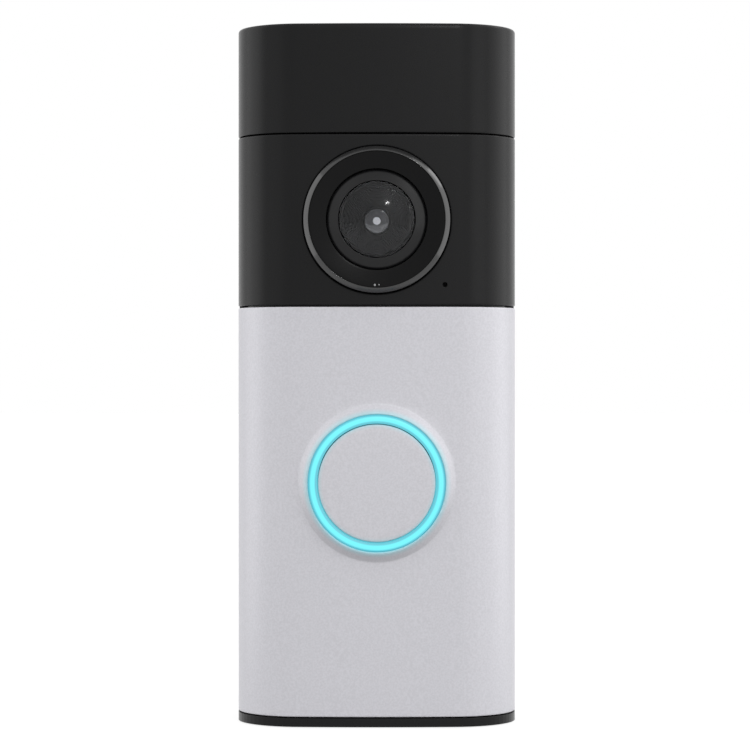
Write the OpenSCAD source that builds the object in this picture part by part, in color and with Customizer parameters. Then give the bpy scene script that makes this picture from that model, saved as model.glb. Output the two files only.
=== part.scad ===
// Battery video doorbell: a camera and push button unit that hangs on a wall bracket.
// X runs across, Z runs up, and the front faces -Y. The wall is the plane y = 0.
// Depths are given as a distance u from the wall, so a depth u lies at y = -u.

/* [Body] */
// Width across the sides
body_w = 51; // [46:0.5:56]
// Height of the unit
body_h = 127; // [115:1:136]
// Depth from the rear rim to the middle of the front
body_d = 24.5; // [22:0.5:28]
// Radius of the two long front edges
front_corner_r = 12; // [10:0.5:12.5]
// Radius of the two long rear edges
rear_corner_r = 3; // [1.5:0.5:3]
// Radius of the gentle bow across the front
crown_r = 220; // [180:10:400]
// Distance from the wall to the rear rim
wall_gap = 1; // [0.8:0.1:1.2]
// Distance from the wall to the joint behind the front parts
joint_u = 9; // [9:0.1:9.4]
// Wall of the camera housing and the top cover
shell_t = 2; // [1.8:0.1:2.2]
// Wall of the frame behind the faceplate
frame_t = 1.6; // [1.4:0.1:1.8]
// Height of the top cover
cover_h = 20; // [19:0.5:22]
// Height of the camera panel
panel_h = 31; // [31:0.5:34]
// Height of the band below the faceplate
band_h = 1.6; // [1.4:0.1:2]
// Gap at the seams between the outer parts
seam = 0.2; // [0.15:0.05:0.3]

/* [Faceplate] */
// Thickness of the faceplate
plate_t = 1.6; // [1.4:0.1:1.8]
// Radius of a locating peg
peg_r = 1.2; // [1:0.1:1.4]
// Length of a locating peg behind the plate
peg_l = 3; // [2.5:0.1:3.5]

/* [Button] */
// Distance from the faceplate's top edge down to the button's centre
button_drop = 32; // [30:0.5:36]
// Radius of the raised collar where it meets the faceplate
collar_r = 14.3; // [14:0.1:15.5]
// Height of the raised collar
collar_h = 1.4; // [1:0.1:1.8]
// Outer radius of the light ring
ring_r = 12.2; // [12:0.1:12.5]
// Width of the light ring's face
ring_w = 1.45; // [1.2:0.05:1.6]
// Travel of the button
press = 0.6; // [0.4:0.05:0.7]
// Number of lamps behind the light ring
ring_lamps = 12; // [6:1:16]

/* [Camera] */
// Distance from the top cover's lower edge down to the lens axis
lens_drop = 15.5; // [15.5:0.1:16.5]
// Outer radius of the camera bezel
bezel_r = 13.2; // [13:0.1:13.2]
// How far the bezel stands proud of the front
bezel_h = 2.1; // [1.6:0.1:2.6]
// Width of the bezel's slanted edge
bezel_bevel = 0.9; // [0.6:0.1:1]
// Inner radius of the dark window ring
window_r = 9.15; // [9:0.05:9.3]
// Radius of the front lens
lens_r = 6.85; // [6.6:0.05:6.9]
// Height of the front lens's dome
dome_h = 1.3; // [1:0.1:1.8]
// Sideways travel of the night filter
filter_travel = 6; // [5.6:0.1:6.4]
// Sideways distance from the lens axis to the microphone hole
mic_x = 12.3; // [12.3:0.1:13]
// Distance from the lens axis down to the microphone hole
mic_drop = 11.7; // [11.7:0.1:12.2]
// Radius of the microphone hole
mic_r = 0.45; // [0.3:0.05:0.6]

/* [Inside] */
// Thickness of the battery, which fills its bay in width and height
cell_t = 6; // [5:0.1:6.4]
// Thickness of the main board
board_t = 1.2; // [0.8:0.1:1.6]
// Height of the speaker, which fills its bay in width and depth
speaker_h = 4.8; // [4:0.1:4.8]
// Number of slots in the speaker grille
grille_slots = 9; // [5:1:9]
// Width of a grille slot
slot_w = 1.2; // [0.8:0.1:1.5]

/* [Wall bracket] */
// Thickness of the bracket plate
bracket_t = 2.5; // [2:0.1:2.7]
// Gap between the bracket plate and the floor of the pocket it sits in
bracket_gap = 1.5; // [1.3:0.1:1.6]
// Distance between the wall screws, across
screw_span_x = 26; // [24:0.5:30]
// Distance from the top and the bottom of the rear pocket to the wall screws
screw_inset = 15.5; // [14:0.5:18]
// Radius of the wall screw holes
screw_hole_r = 2.1; // [1.8:0.1:2.4]
// Distance of each top hook from the middle
hook_x = 12; // [10:0.5:14]
// Width of a top hook
hook_w = 8; // [6:0.5:9]
// Width of the wire window
wire_w = 28; // [26:0.5:28]
// Height of the wire window
wire_h = 40; // [38:0.5:40]

/* [Hidden] */
$fn = 64;

// Colours of the finishes
black = [0.10, 0.10, 0.105];
soft_black = [0.06, 0.06, 0.065];
smoke = [0.03, 0.03, 0.035];
nickel = [0.77, 0.77, 0.79];
steel = [0.62, 0.63, 0.65];
brass = [0.72, 0.58, 0.28];
gold = [0.83, 0.68, 0.35];
glass = [0.35, 0.42, 0.50, 0.6];
cyan = [0.38, 0.95, 1.0];
board_green = [0.05, 0.30, 0.16];
flex_amber = [0.75, 0.45, 0.12];
silicone = [0.25, 0.25, 0.27];
cell_blue = [0.20, 0.32, 0.52];

// Clearances
touch = 0.05;        // between parts that rest on each other at a round or tight seat
slide_gap = 0.15;    // round a part that slides
screw_fit = 0.05;    // between a screw's thread and its pilot hole

// Overall heights and depths
half_w = body_w / 2;
half_h = body_h / 2;
front_u = wall_gap + body_d;
cover_z = half_h - cover_h;
panel_z = cover_z - panel_h;
band_z = -half_h + band_h;
lens_z = cover_z - lens_drop;
button_z = panel_z - button_drop;
bulkhead_t = 1.2;

// The frame steps in behind the faceplate, and every shell is this thick at the joint
frame_inset = plate_t + seam;
joint_t = frame_inset + frame_t;
frame_front_u = front_u - frame_inset;
frame_back_u = front_u - joint_t;
joint_rim = 1.5;     // depth of the thick edge in front of the joint

// Pegs that hold the faceplate
peg_inset = 10.5;
peg_drop = 6;
peg_rise = 8;
peg_fit = 0.1;
peg_socket_wall = 1.2;
peg_x = half_w - peg_inset;
peg_zs = [panel_z - peg_drop, band_z + peg_rise];

// Rear pocket that takes the bracket
rim_t = 3;
pocket_x = half_w - rim_t;
pocket_z = half_h - rim_t;
floor_u = bracket_t + bracket_gap;
floor_t = 1.6;
inside_u = floor_u + floor_t;
lip_u = 2.3;         // rear lip that the hooks and the clip catch behind
catch_depth = 1.9;   // how far the catch recesses go into the rim

// Hooks
hook_bead_r = 0.65;
hook_u = (lip_u + floor_u) / 2;
hook_z = pocket_z + 0.7;
hook_neck_t = 0.8;
hook_root = 9.5;
hook_neck_l = 4;
hook_fit = 0.3;      // between a hook's sides and its recess

// Spring clip: a flat strip across the plate that bows upwards, with a nose in its middle
clip_w = 11;
clip_t = 0.5;
clip_z = -pocket_z + 4.6;
clip_lift = 2.2;     // room for the strip to bow
clip_fit = 0.6;      // between the clip's nose and its recess
clip_foot = 2.4;     // half width of the clip's riveted feet
clip_edge = 1.8;     // how far the strip is turned back towards the wall
bracket_side_gap = 1;
bracket_low_gap = 1.2;
bracket_high_gap = 2;
bracket_corner_r = 4;
countersink = 2;     // how much wider a screw hole gets at the front of the plate
countersink_l = 1;
nose_z = -pocket_z - 1.4;
wall_screw_z = pocket_z - screw_inset;
rivet_x = pocket_x - 4;
rivet_r = 1;
pin_u = bracket_t + clip_t / 2;

// Battery and boards, from the rear floor forwards
cell_wall = 0.5;     // wall of the battery's tray
cell_clear = 0.15;   // between the battery and its tray
lead_w = 4;
cell_swell = 0.7;    // room for the battery to swell
cell_u = inside_u + cell_swell;
board_u = cell_u + cell_t + cell_swell;
board_front_u = board_u + board_t;
can_h = 1.2;
can_l = 10.5;
chip_h = 0.8;
board_low_z = band_z + 11.9;
board_high_z = panel_z - 1.5;
board_half_w = half_w - joint_t - 1.1;
can_x = 7 - board_half_w;
connector_u = board_u - 1;
connector_w = 10;
connector_h = 2.1;
connector_high_z = board_high_z - 1.5;
camera_flex_w = 8;
flex_turn = 0.5;     // how far above the main board the camera's ribbon turns
board_post_r = 1.6;
board_post_x = half_w - 6.7;
board_post_zs = [board_low_z + 4, board_high_z - 15];

// Screws that hold the rear housing to the front parts
screw_r = 0.95;
screw_head_r = 1.9;
screw_head_t = 1.2;
screw_clear = 0.2;   // round a screw's head and shaft in the rear housing
head_gap = 0.15;     // between a screw's head and the pocket floor
pilot_extra = 0.5;   // how much deeper a pilot hole is than its screw
boss_r = 2.5;
housing_screw_x = half_w - 7;
housing_screw_zs = [band_z + 7.9, panel_z - 5.5, cover_z - 5.5];
cover_screw_x = half_w - 8.5;
cover_screw_z = cover_z + 9.5;
screw_tip_u = joint_u + 6;

// Rear services, with the battery's bay below them
service_z = panel_z - 7.5;
cell_low_z = board_low_z;
cell_h = service_z - 8 - cell_low_z;
cell_w = 2 * (board_post_x - board_post_r - cell_wall - cell_clear - touch);
lead_x = 5.5 - cell_w / 2;
port_w = 8.94;
port_h = 3.26;
port_wall = 0.3;
port_mouth_u = floor_u + 1.1;
port_cover_w = 14.4;
port_cover_h = 7.4;
port_bead_r = 0.5;
port_hinge_x = -port_cover_w / 2;
port_hinge_u = floor_u + port_bead_r;
setup_x = 11;
setup_r = 1.9;
setup_travel = 0.5;
setup_switch_u = board_u - 1;
terminal_x = 6;
terminal_z = lens_z + 1;
terminal_u = floor_u + 2.4;
terminal_pocket_w = 19;
terminal_pocket_h = 12;
terminal_head_r = 2.4;
terminal_shank_r = 1.4;
terminal_l = 1.8;

// Button stack, set back from the front
ring_inner_r = ring_r - ring_w;
ring_front_u = front_u + collar_h - 0.1;
ring_flange = 1.2;   // width and thickness of the light ring's flange
ring_flange_u = frame_back_u - ring_flange;
button_board_u = front_u - 7.9;
button_board_t = 1.2;
button_board_r = 17;
lamp_u = button_board_u + button_board_t;
lamp_h = 0.7;
button_screw_r = 0.75;
button_screw_pitch_r = 15.2;
button_screw_angles = [90, 210, 330];
small_head_r = 1.4;
small_head_t = 0.8;
cap_t = 1.4;
cap_r = ring_inner_r - slide_gap;
cap_back_u = ring_front_u - cap_t;
plunger_plate_t = 1.2;
plunger_plate_u = cap_back_u - plunger_plate_t;
plunger_r = 3;
guide_web_t = 1.4;
membrane_t = 0.9;
guide_front_u = plunger_plate_u - membrane_t - 2 * touch;
switch_size = 5;
switch_h = 1.6;
stem_r = 1.25;
stem_l = press + 0.6;
stem_top_u = lamp_u + switch_h + press + 0.1;

// Camera stack, from the retainer forwards
wall_back_u = front_u - shell_t;
bezel_flange_r = bezel_r + 0.8;
bezel_flange_t = 0.9;
retainer_t = 1.1;
bezel_flange_u = wall_back_u - bezel_flange_t - 0.3;
retainer_u = bezel_flange_u - retainer_t;
retainer_r = bezel_r + 0.4;
retainer_ear_r = 2.4;
retainer_pitch_r = 15.6;
retainer_angles = [45, 135, 225];
bezel_front_u = front_u + bezel_h;
bezel_inner_r = bezel_r - bezel_bevel - 0.3;
window_ledge_r = bezel_inner_r - 0.6;
window_ledge_u = bezel_front_u - 1.5;
window_fall = 1;     // the window ring slopes in by this much towards the lens
ir_board_t = 0.8;
shroud_u = bezel_flange_u + ir_board_t + touch;
barrel_r = 5.95;
barrel_low_u = retainer_u - 5.8;
slot_high_u = retainer_u - 6.2;
holder_lid_u = retainer_u - 8;
holder_low_u = retainer_u - 9;
shroud_bore_r = lens_r + 0.12;
head_top_u = bezel_front_u - 0.9;
bore_r = 2.3;
baffle_steps = 5;
holder_half = 8.5;
slot_half_h = 3.8;
pane_half = 2.3;     // half width of a filter pane's opening
frame_play = 0.3;    // round the filter frame in its slot
sensor_board_t = 1;
ir_lamp_r = 10.2;

// Motion sensor board in the top cover
motion_u = 13.8;
motion_t = 1;
motion_z = cover_z + 9.5;
motion_w = body_w - 17;
motion_h = 14;
motion_can_x = half_w - 17;
motion_can_r = 4.6;
sheet_half_w = cover_screw_x - boss_r - 0.6;
motion_post_x = half_w - 13;
motion_post_z = cover_z + 4.6;

// Speaker, facing down, in its bay between the housing joint and the frame
speaker_low_u = joint_u + 0.4;
speaker_d = frame_back_u - 1.5 - speaker_low_u;
speaker_u = speaker_low_u + speaker_d / 2;
speaker_w = body_w - 24;
speaker_wall = 1.2;
magnet_r = speaker_d / 2 - 1.5;
magnet_h = 5.1;
grille_pitch = 2.6;
grille_l = speaker_d - 4.4;

// ---------- Shared shapes ----------

// Points of an arc, without its first point unless the arc starts a line
function arc(cx, cy, r, a0, a1, n, first = 1) =
    [for (i = [first : n]) let (a = a0 + (a1 - a0) * i / n) [cx + r * cos(a), cy + r * sin(a)]];

// A rounded rectangle about the origin
function rounded(w, h, r, n = 5) = concat(
    arc(w / 2 - r, h / 2 - r, r, 0, 90, n, 0), arc(-w / 2 + r, h / 2 - r, r, 90, 180, n, 0),
    arc(-w / 2 + r, -h / 2 + r, r, 180, 270, n, 0), arc(w / 2 - r, -h / 2 + r, r, 270, 360, n, 0));

corner_steps = 16;
crown_steps = 8;
corner_x = half_w - front_corner_r;
corner_y = crown_r - front_u - sqrt(pow(crown_r - front_corner_r, 2) - pow(corner_x, 2));
crown_angle = asin(corner_x / (crown_r - front_corner_r));

// Depth of the front, moved inwards by inset, at a distance x from the middle
function front_depth(x, inset) = x < (crown_r - inset) * sin(crown_angle)
    ? front_u - crown_r + sqrt(pow(crown_r - inset, 2) - x * x)
    : -corner_y + sqrt(pow(front_corner_r - inset, 2) - pow(x - corner_x, 2));

// The outline of the front seen from above, moved inwards by inset and closed straight across at depth cut_u
function front_line(inset, cut_u) = concat(
    [[-half_w + inset, -cut_u]],
    arc(-corner_x, corner_y, front_corner_r - inset, 180, 270 - crown_angle, corner_steps, 0),
    arc(0, crown_r - front_u, crown_r - inset, 270 - crown_angle, 270 + crown_angle, crown_steps),
    arc(corner_x, corner_y, front_corner_r - inset, 270 + crown_angle, 360, corner_steps),
    [[half_w - inset, -cut_u]]);

// The outline of the rear seen from above, from the joint to the rear rim
rear_line = concat(
    [[-half_w, -joint_u], [half_w, -joint_u]],
    arc(half_w - rear_corner_r, -wall_gap - rear_corner_r, rear_corner_r, 0, 90, 8, 0),
    arc(-half_w + rear_corner_r, -wall_gap - rear_corner_r, rear_corner_r, 90, 180, 8, 0));

module front_block(inset, cut_u, z0, z1) {
    translate([0, 0, z0]) linear_extrude(z1 - z0) polygon(front_line(inset, cut_u));
}

module box(x0, x1, u0, u1, z0, z1) {
    translate([x0, -u1, z0]) cube([x1 - x0, u1 - u0, z1 - z0]);
}

// A rod along the depth axis
module rod(x, z, r, u0, u1) {
    translate([x, 0, z]) rotate([90, 0, 0]) translate([0, 0, u0]) cylinder(r = r, h = u1 - u0);
}

// A turned part about the depth axis; points are [radius, depth]
module turned(z, points) {
    translate([0, 0, z]) rotate([90, 0, 0]) rotate_extrude() polygon(points);
}

// A flat plate facing the front
module slab(w, h, r, u0, u1, x = 0, z = 0) {
    translate([x, -u0, z]) rotate([90, 0, 0]) linear_extrude(u1 - u0) polygon(rounded(w, h, r));
}

// A profile in depth and height, given as [u, z] points, extruded across by w
module across(w, points, x = 0) {
    translate([x - w / 2, 0, 0]) rotate([90, 0, 90]) linear_extrude(w)
        polygon([for (p = points) [-p[0], p[1]]]);
}

// A pan head screw driven from the wall side, head first, with a cross recess
module screw(x, z, head_u, tip_u, r, head_r, head_t) {
    difference() {
        union() {
            rod(x, z, head_r, head_u, head_u + head_t);
            rod(x, z, r, head_u + head_t, tip_u);
        }
        for (s = [[1, 0.22], [0.22, 1]])
            box(x - head_r * 0.6 * s[0], x + head_r * 0.6 * s[0], head_u - 1, head_u + head_t / 2,
                z - head_r * 0.6 * s[1], z + head_r * 0.6 * s[1]);
    }
}

module both_sides(x) {
    for (s = [-1, 1]) translate([s * x, 0, 0]) children();
}

// ---------- Wall bracket ----------

wire_z = service_z + 12.5;

module bracket_plate() {
    plate_low_z = -pocket_z + bracket_low_gap;
    plate_high_z = pocket_z - bracket_high_gap;
    plate_h = plate_high_z - plate_low_z;
    color(black) difference() {
        union() {
            slab(2 * (pocket_x - bracket_side_gap), plate_h, bracket_corner_r, 0, bracket_t,
                0, plate_low_z + plate_h / 2);
            both_sides(hook_x) {
                box(-hook_w / 2, hook_w / 2, bracket_t - 0.1, hook_u + hook_neck_t / 2,
                    pocket_z - hook_root, plate_high_z);
                box(-hook_w / 2, hook_w / 2, hook_u - hook_neck_t / 2, hook_u + hook_neck_t / 2,
                    pocket_z - hook_neck_l, hook_z);
                translate([-hook_w / 2, -hook_u, hook_z]) rotate([0, 90, 0])
                    cylinder(r = hook_bead_r, h = hook_w);
            }
        }
        slab(wire_w, wire_h, 3, -1, bracket_t + 1, 0, wire_z);
        for (sx = [-1, 1], sz = [-1, 1]) {
            rod(sx * screw_span_x / 2, sz * wall_screw_z, screw_hole_r, -1, hook_u + 1);
            translate([sx * screw_span_x / 2, 0, sz * wall_screw_z]) rotate([90, 0, 0])
                translate([0, 0, bracket_t - countersink_l])
                    cylinder(r1 = screw_hole_r, r2 = screw_hole_r + countersink, h = countersink_l + 0.01);
        }
        box(-rivet_x + clip_foot + 0.4, rivet_x - clip_foot - 0.4, -1, bracket_t + 1,
            plate_low_z - 1, clip_z + clip_t + clip_lift);
        both_sides(rivet_x) rod(0, clip_z, rivet_r, -1, bracket_t + 1);
    }
}

module bracket_clip() {
    front = bracket_t + clip_t;
    color(steel) {
        difference() {
            both_sides(rivet_x) box(-clip_foot, clip_foot, bracket_t, front, clip_z - 2.5, clip_z + 2.5);
            both_sides(rivet_x) rod(0, clip_z, rivet_r, 0, front + 1);
        }
        box(-rivet_x + clip_foot - 0.4, rivet_x - clip_foot + 0.4, bracket_t, front, clip_z, clip_z + clip_t);
        box(-rivet_x + clip_foot + 0.7, rivet_x - clip_foot - 0.7, bracket_t - clip_edge, front,
            clip_z, clip_z + clip_t);
        box(-clip_w / 2, clip_w / 2, bracket_t, front, nose_z, clip_z + clip_t);
    }
}

module clip_rivets() {
    front = bracket_t + clip_t;
    color(brass) both_sides(rivet_x) {
        rod(0, clip_z, rivet_r - touch, 0.3, front);
        rod(0, clip_z, rivet_r + 0.6, front, front + 0.4);
    }
}

// ---------- Housings ----------

module housing_bosses(u0, u1, cut = 0) {
    for (z = housing_screw_zs) both_sides(housing_screw_x) rod(0, z, cut ? cut : boss_r, u0, u1);
}

module cover_bosses(u0, u1, cut = 0) {
    both_sides(cover_screw_x) rod(0, cover_screw_z, cut ? cut : boss_r, u0, u1);
}

module board_posts(u0, u1, r) {
    for (z = board_post_zs) both_sides(board_post_x) rod(0, z, r, u0, u1);
}

module rear_housing() {
    cavity_x = half_w - joint_t;
    cavity_z = half_h - joint_t;
    head_seat_u = floor_u + head_gap + screw_head_t;
    color(black) difference() {
        union() {
            difference() {
                union() {
                    translate([0, 0, -half_h]) linear_extrude(body_h) polygon(rear_line);
                    front_block(0, joint_u - 1, -half_h, band_z);
                }
                box(-cavity_x, cavity_x, inside_u, joint_u + 1, -cavity_z, cavity_z);
            }
            housing_bosses(inside_u - 0.5, joint_u);
            cover_bosses(inside_u - 0.5, joint_u);
            board_posts(inside_u - 0.5, board_u, 1.6);
            both_sides(motion_post_x) rod(0, motion_post_z, 1.8, inside_u - 0.5, motion_u);
            box(-terminal_pocket_w / 2 - 1.2, terminal_pocket_w / 2 + 1.2, inside_u - 0.5, terminal_u + 1.2,
                terminal_z - terminal_pocket_h / 2 - 1.2, terminal_z + terminal_pocket_h / 2 + 1.2);
            both_sides(terminal_x) rod(0, terminal_z, 2.6, terminal_u, terminal_u + terminal_l + 0.2);
        }
        slab(2 * pocket_x, 2 * pocket_z, 2, -1, floor_u);
        both_sides(hook_x)
            box(-hook_w / 2 - hook_fit, hook_w / 2 + hook_fit, lip_u, floor_u,
                pocket_z - 1, pocket_z + catch_depth);
        box(-clip_w / 2 - clip_fit, clip_w / 2 + clip_fit, lip_u, floor_u,
            -pocket_z - catch_depth, -pocket_z + 1);
        box(-1.6, 1.6, pin_u - 0.5, pin_u + 0.5, -half_h - 1, -pocket_z);
        housing_bosses(floor_u - 1, head_seat_u, screw_head_r + screw_clear);
        housing_bosses(floor_u, joint_u + 1, screw_r + screw_clear);
        cover_bosses(floor_u - 1, head_seat_u, screw_head_r + screw_clear);
        cover_bosses(floor_u, joint_u + 1, screw_r + screw_clear);
        board_posts(board_u - 5, board_u + 1, screw_r + screw_fit);
        both_sides(motion_post_x) rod(0, motion_post_z, screw_r + screw_fit, motion_u - 5, motion_u + 1);
        box(-terminal_pocket_w / 2, terminal_pocket_w / 2, floor_u - 1, terminal_u,
            terminal_z - terminal_pocket_h / 2, terminal_z + terminal_pocket_h / 2);
        both_sides(terminal_x)
            rod(0, terminal_z, terminal_shank_r + screw_fit, terminal_u - 1, terminal_u + terminal_l + 1);
        box(port_hinge_x - port_bead_r - 0.2, port_cover_w / 2 + 0.3, floor_u - 1, port_mouth_u,
            service_z - port_cover_h / 2 - 0.3, service_z + port_cover_h / 2 + 0.3);
        box(-port_w / 2 - 0.15, port_w / 2 + 0.15, floor_u, inside_u + 1,
            service_z - port_h / 2 - 0.15, service_z + port_h / 2 + 0.15);
        rod(setup_x, service_z, setup_r + slide_gap, floor_u - 1, inside_u + 1);
        groove_loop(joint_u - seal_t - touch, joint_u + 1, touch);
        grille(-half_h - 1, band_z + 1);
    }
}

seal_w = 0.8;
seal_t = 0.8;
seal_inset = 1.2;    // from the inner face of the joint to the seal's outer side

// The loop that the housing seal follows, widened on each side by extra
module groove_loop(u0, u1, extra) {
    outer = joint_t - seal_inset - extra;
    inner = joint_t - seal_inset + seal_w + extra;
    difference() {
        slab(2 * (half_w - outer), 2 * (half_h - outer), 2, u0, u1);
        slab(2 * (half_w - inner), 2 * (half_h - inner), 2 - seal_w, u0 - 1, u1 + 1);
    }
}

module grille(z0, z1) {
    for (i = [0 : grille_slots - 1]) let (x = (i - (grille_slots - 1) / 2) * grille_pitch)
        box(x - slot_w / 2, x + slot_w / 2, speaker_u - grille_l / 2, speaker_u + grille_l / 2, z0, z1);
}

module housing_seal() {
    color(silicone) groove_loop(joint_u - seal_t, joint_u, 0);
}

module front_housing() {
    bottom_z = band_z + 0.05;
    color(black) difference() {
        union() {
            difference() {
                union() {
                    front_block(0, joint_u, panel_z, cover_z);
                    front_block(frame_inset, joint_u, bottom_z, panel_z + 1);
                }
                front_block(joint_t, joint_u - 1, bottom_z + frame_t, cover_z - bulkhead_t);
                front_block(shell_t, joint_u + joint_rim, panel_z + shell_t, cover_z - bulkhead_t);
                rod(0, lens_z, bezel_flange_r + slide_gap, joint_u, wall_back_u);
                rod(0, button_z, ring_r + ring_flange + slide_gap, joint_u, frame_back_u - touch);
            }
            intersection() {
                union() {
                    housing_bosses(joint_u, front_u);
                    for (z = peg_zs) both_sides(peg_x)
                        rod(0, z, peg_r + peg_socket_wall, frame_back_u - peg_l, front_u);
                }
                front_block(frame_inset + 0.1, joint_u, bottom_z, panel_z);
            }
            intersection() {
                housing_bosses(joint_u, front_u);
                front_block(shell_t - 0.1, joint_u, panel_z, cover_z);
            }
            for (a = button_screw_angles)
                rod(button_screw_pitch_r * cos(a), button_z + button_screw_pitch_r * sin(a),
                    1.6, lamp_u, frame_back_u + 0.5);
            for (a = retainer_angles)
                rod(retainer_pitch_r * cos(a), lens_z + retainer_pitch_r * sin(a),
                    1.4, bezel_flange_u, wall_back_u + 0.5);
        }
        rod(0, lens_z, bezel_r + 0.08, joint_u, front_u + 1);
        rod(0, button_z, ring_r + slide_gap, joint_u, front_u + 1);
        rod(mic_x, lens_z - mic_drop, mic_r, joint_u, front_u + 1);
        housing_bosses(joint_u - 1, screw_tip_u + pilot_extra, screw_r + screw_fit);
        for (z = peg_zs) both_sides(peg_x) rod(0, z, peg_r + peg_fit, frame_front_u - peg_l - 0.7, front_u);
        for (a = button_screw_angles)
            rod(button_screw_pitch_r * cos(a), button_z + button_screw_pitch_r * sin(a),
                button_screw_r + screw_fit, lamp_u - 1, lamp_u + 2.6);
        for (a = retainer_angles)
            rod(retainer_pitch_r * cos(a), lens_z + retainer_pitch_r * sin(a),
                button_screw_r + screw_fit, bezel_flange_u - 1, wall_back_u + 0.6);
        box(-speaker_w / 2 - 0.5, speaker_w / 2 + 0.5, speaker_u - speaker_d / 2 - 0.2,
            speaker_u + speaker_d / 2 + 0.2, bottom_z - 1, bottom_z + frame_t + 1);
    }
}

module top_cover() {
    color(black) difference() {
        union() {
            difference() {
                front_block(0, joint_u, cover_z + seam, half_h);
                front_block(joint_t, joint_u - 1, cover_z, half_h - joint_t);
                front_block(shell_t, joint_u + joint_rim, cover_z, half_h - joint_t);
            }
            intersection() {
                cover_bosses(joint_u, front_u);
                front_block(shell_t / 2, joint_u, cover_z + seam, half_h - 1);
            }
        }
        cover_bosses(joint_u - 1, screw_tip_u + pilot_extra, screw_r + screw_fit);
    }
}

module housing_screws() {
    color(steel) for (z = housing_screw_zs, s = [-1, 1])
        screw(s * housing_screw_x, z, floor_u + head_gap, screw_tip_u, screw_r, screw_head_r, screw_head_t);
}

module cover_screws() {
    color(steel) for (s = [-1, 1])
        screw(s * cover_screw_x, cover_screw_z, floor_u + head_gap, screw_tip_u,
              screw_r, screw_head_r, screw_head_t);
}

module faceplate() {
    low_z = band_z + seam;
    high_z = panel_z - seam;
    color(nickel) difference() {
        union() {
            difference() {
                front_block(0, joint_u + seam, low_z, high_z);
                front_block(plate_t, joint_u - 1, low_z - 1, high_z + 1);
            }
            turned(button_z, [
                [ring_r - 1, front_u - plate_t], [collar_r, front_u - plate_t / 2 - 0.4],
                [collar_r, front_u - 0.3], [ring_r + 0.5, front_u + collar_h],
                [ring_r - 1, front_u + collar_h]]);
            intersection() {
                for (z = peg_zs) both_sides(peg_x) rod(0, z, peg_r, front_u - plate_t - peg_l, front_u);
                front_block(plate_t / 2, joint_u, low_z, high_z);
            }
        }
        rod(0, button_z, ring_r + 0.2, joint_u, front_u + collar_h + 1);
    }
}

// ---------- Camera ----------

module camera_bezel() {
    color(soft_black) turned(lens_z, [
        [window_ledge_r, bezel_flange_u], [bezel_flange_r, bezel_flange_u],
        [bezel_flange_r, bezel_flange_u + bezel_flange_t], [bezel_r, bezel_flange_u + bezel_flange_t],
        [bezel_r, front_u + 0.3], [bezel_r - bezel_bevel, bezel_front_u],
        [bezel_inner_r, bezel_front_u],
        [bezel_inner_r, window_ledge_u], [window_ledge_r, window_ledge_u]]);
}

module ir_window() {
    rim_r = bezel_inner_r - touch;
    neck_r = window_ledge_r - touch;
    top_u = bezel_front_u - 0.2;
    color(smoke) turned(lens_z, [
        [window_r, window_ledge_u - 0.8], [neck_r, window_ledge_u - 0.8], [neck_r, window_ledge_u + touch],
        [rim_r, window_ledge_u + touch], [rim_r, top_u], [window_r, top_u - window_fall]]);
}

module ir_board() {
    color(board_green) turned(lens_z, [
        [lens_r + 0.2, bezel_flange_u], [window_ledge_r - 0.1, bezel_flange_u],
        [window_ledge_r - 0.1, bezel_flange_u + ir_board_t], [lens_r + 0.2, bezel_flange_u + ir_board_t]]);
}

module ir_leds() {
    u = bezel_flange_u + ir_board_t;
    color(gold) for (a = [45 : 90 : 315])
        translate([0, 0, lens_z]) rotate([0, a, 0])
            box(ir_lamp_r - 0.8, ir_lamp_r + 0.8, u, u + 0.9, -0.8, 0.8);
}

module light_sensor() {
    u = bezel_flange_u + ir_board_t;
    color(glass) box(-1, 1, u, u + 0.7, lens_z - ir_lamp_r - 0.7, lens_z - ir_lamp_r + 0.7);
}

module camera_retainer() {
    color(soft_black) difference() {
        union() {
            rod(0, lens_z, retainer_r, retainer_u, bezel_flange_u);
            for (a = retainer_angles)
                rod(retainer_pitch_r * cos(a), lens_z + retainer_pitch_r * sin(a),
                    retainer_ear_r, retainer_u, bezel_flange_u);
        }
        rod(0, lens_z, barrel_r + slide_gap, retainer_u - 1, bezel_flange_u + 1);
        for (a = retainer_angles)
            rod(retainer_pitch_r * cos(a), lens_z + retainer_pitch_r * sin(a),
                button_screw_r + 0.1, retainer_u - 1, bezel_flange_u + 1);
    }
}

module camera_screws() {
    color(steel) for (a = retainer_angles)
        screw(retainer_pitch_r * cos(a), lens_z + retainer_pitch_r * sin(a), retainer_u - small_head_t,
              wall_back_u + 0.3, button_screw_r, small_head_r, small_head_t);
}

module lens_shroud() {
    color(soft_black) turned(lens_z, [
        [shroud_bore_r, shroud_u], [window_r - 0.1, shroud_u], [window_r - 0.1, bezel_front_u - 1.6],
        [shroud_bore_r + 0.35, bezel_front_u - 0.1], [shroud_bore_r, bezel_front_u - 0.1]]);
}

module front_element() {
    edge_u = head_top_u + 0.5;
    dome_r = (lens_r * lens_r + dome_h * dome_h) / (2 * dome_h);
    hollow_r = lens_r - 0.6;
    hollow_h = dome_h / 2;
    back_r = (hollow_r * hollow_r + hollow_h * hollow_h) / (2 * hollow_h);
    color(glass) turned(lens_z, concat(
        [[lens_r, head_top_u], [lens_r, edge_u]],
        [for (i = [1 : 8]) let (r = lens_r * (1 - i / 8))
            [r, edge_u + sqrt(dome_r * dome_r - r * r) - (dome_r - dome_h)]],
        [for (i = [0 : 8]) let (r = hollow_r * i / 8)
            [r, head_top_u + sqrt(back_r * back_r - r * r) - (back_r - hollow_h)]]));
}

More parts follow.
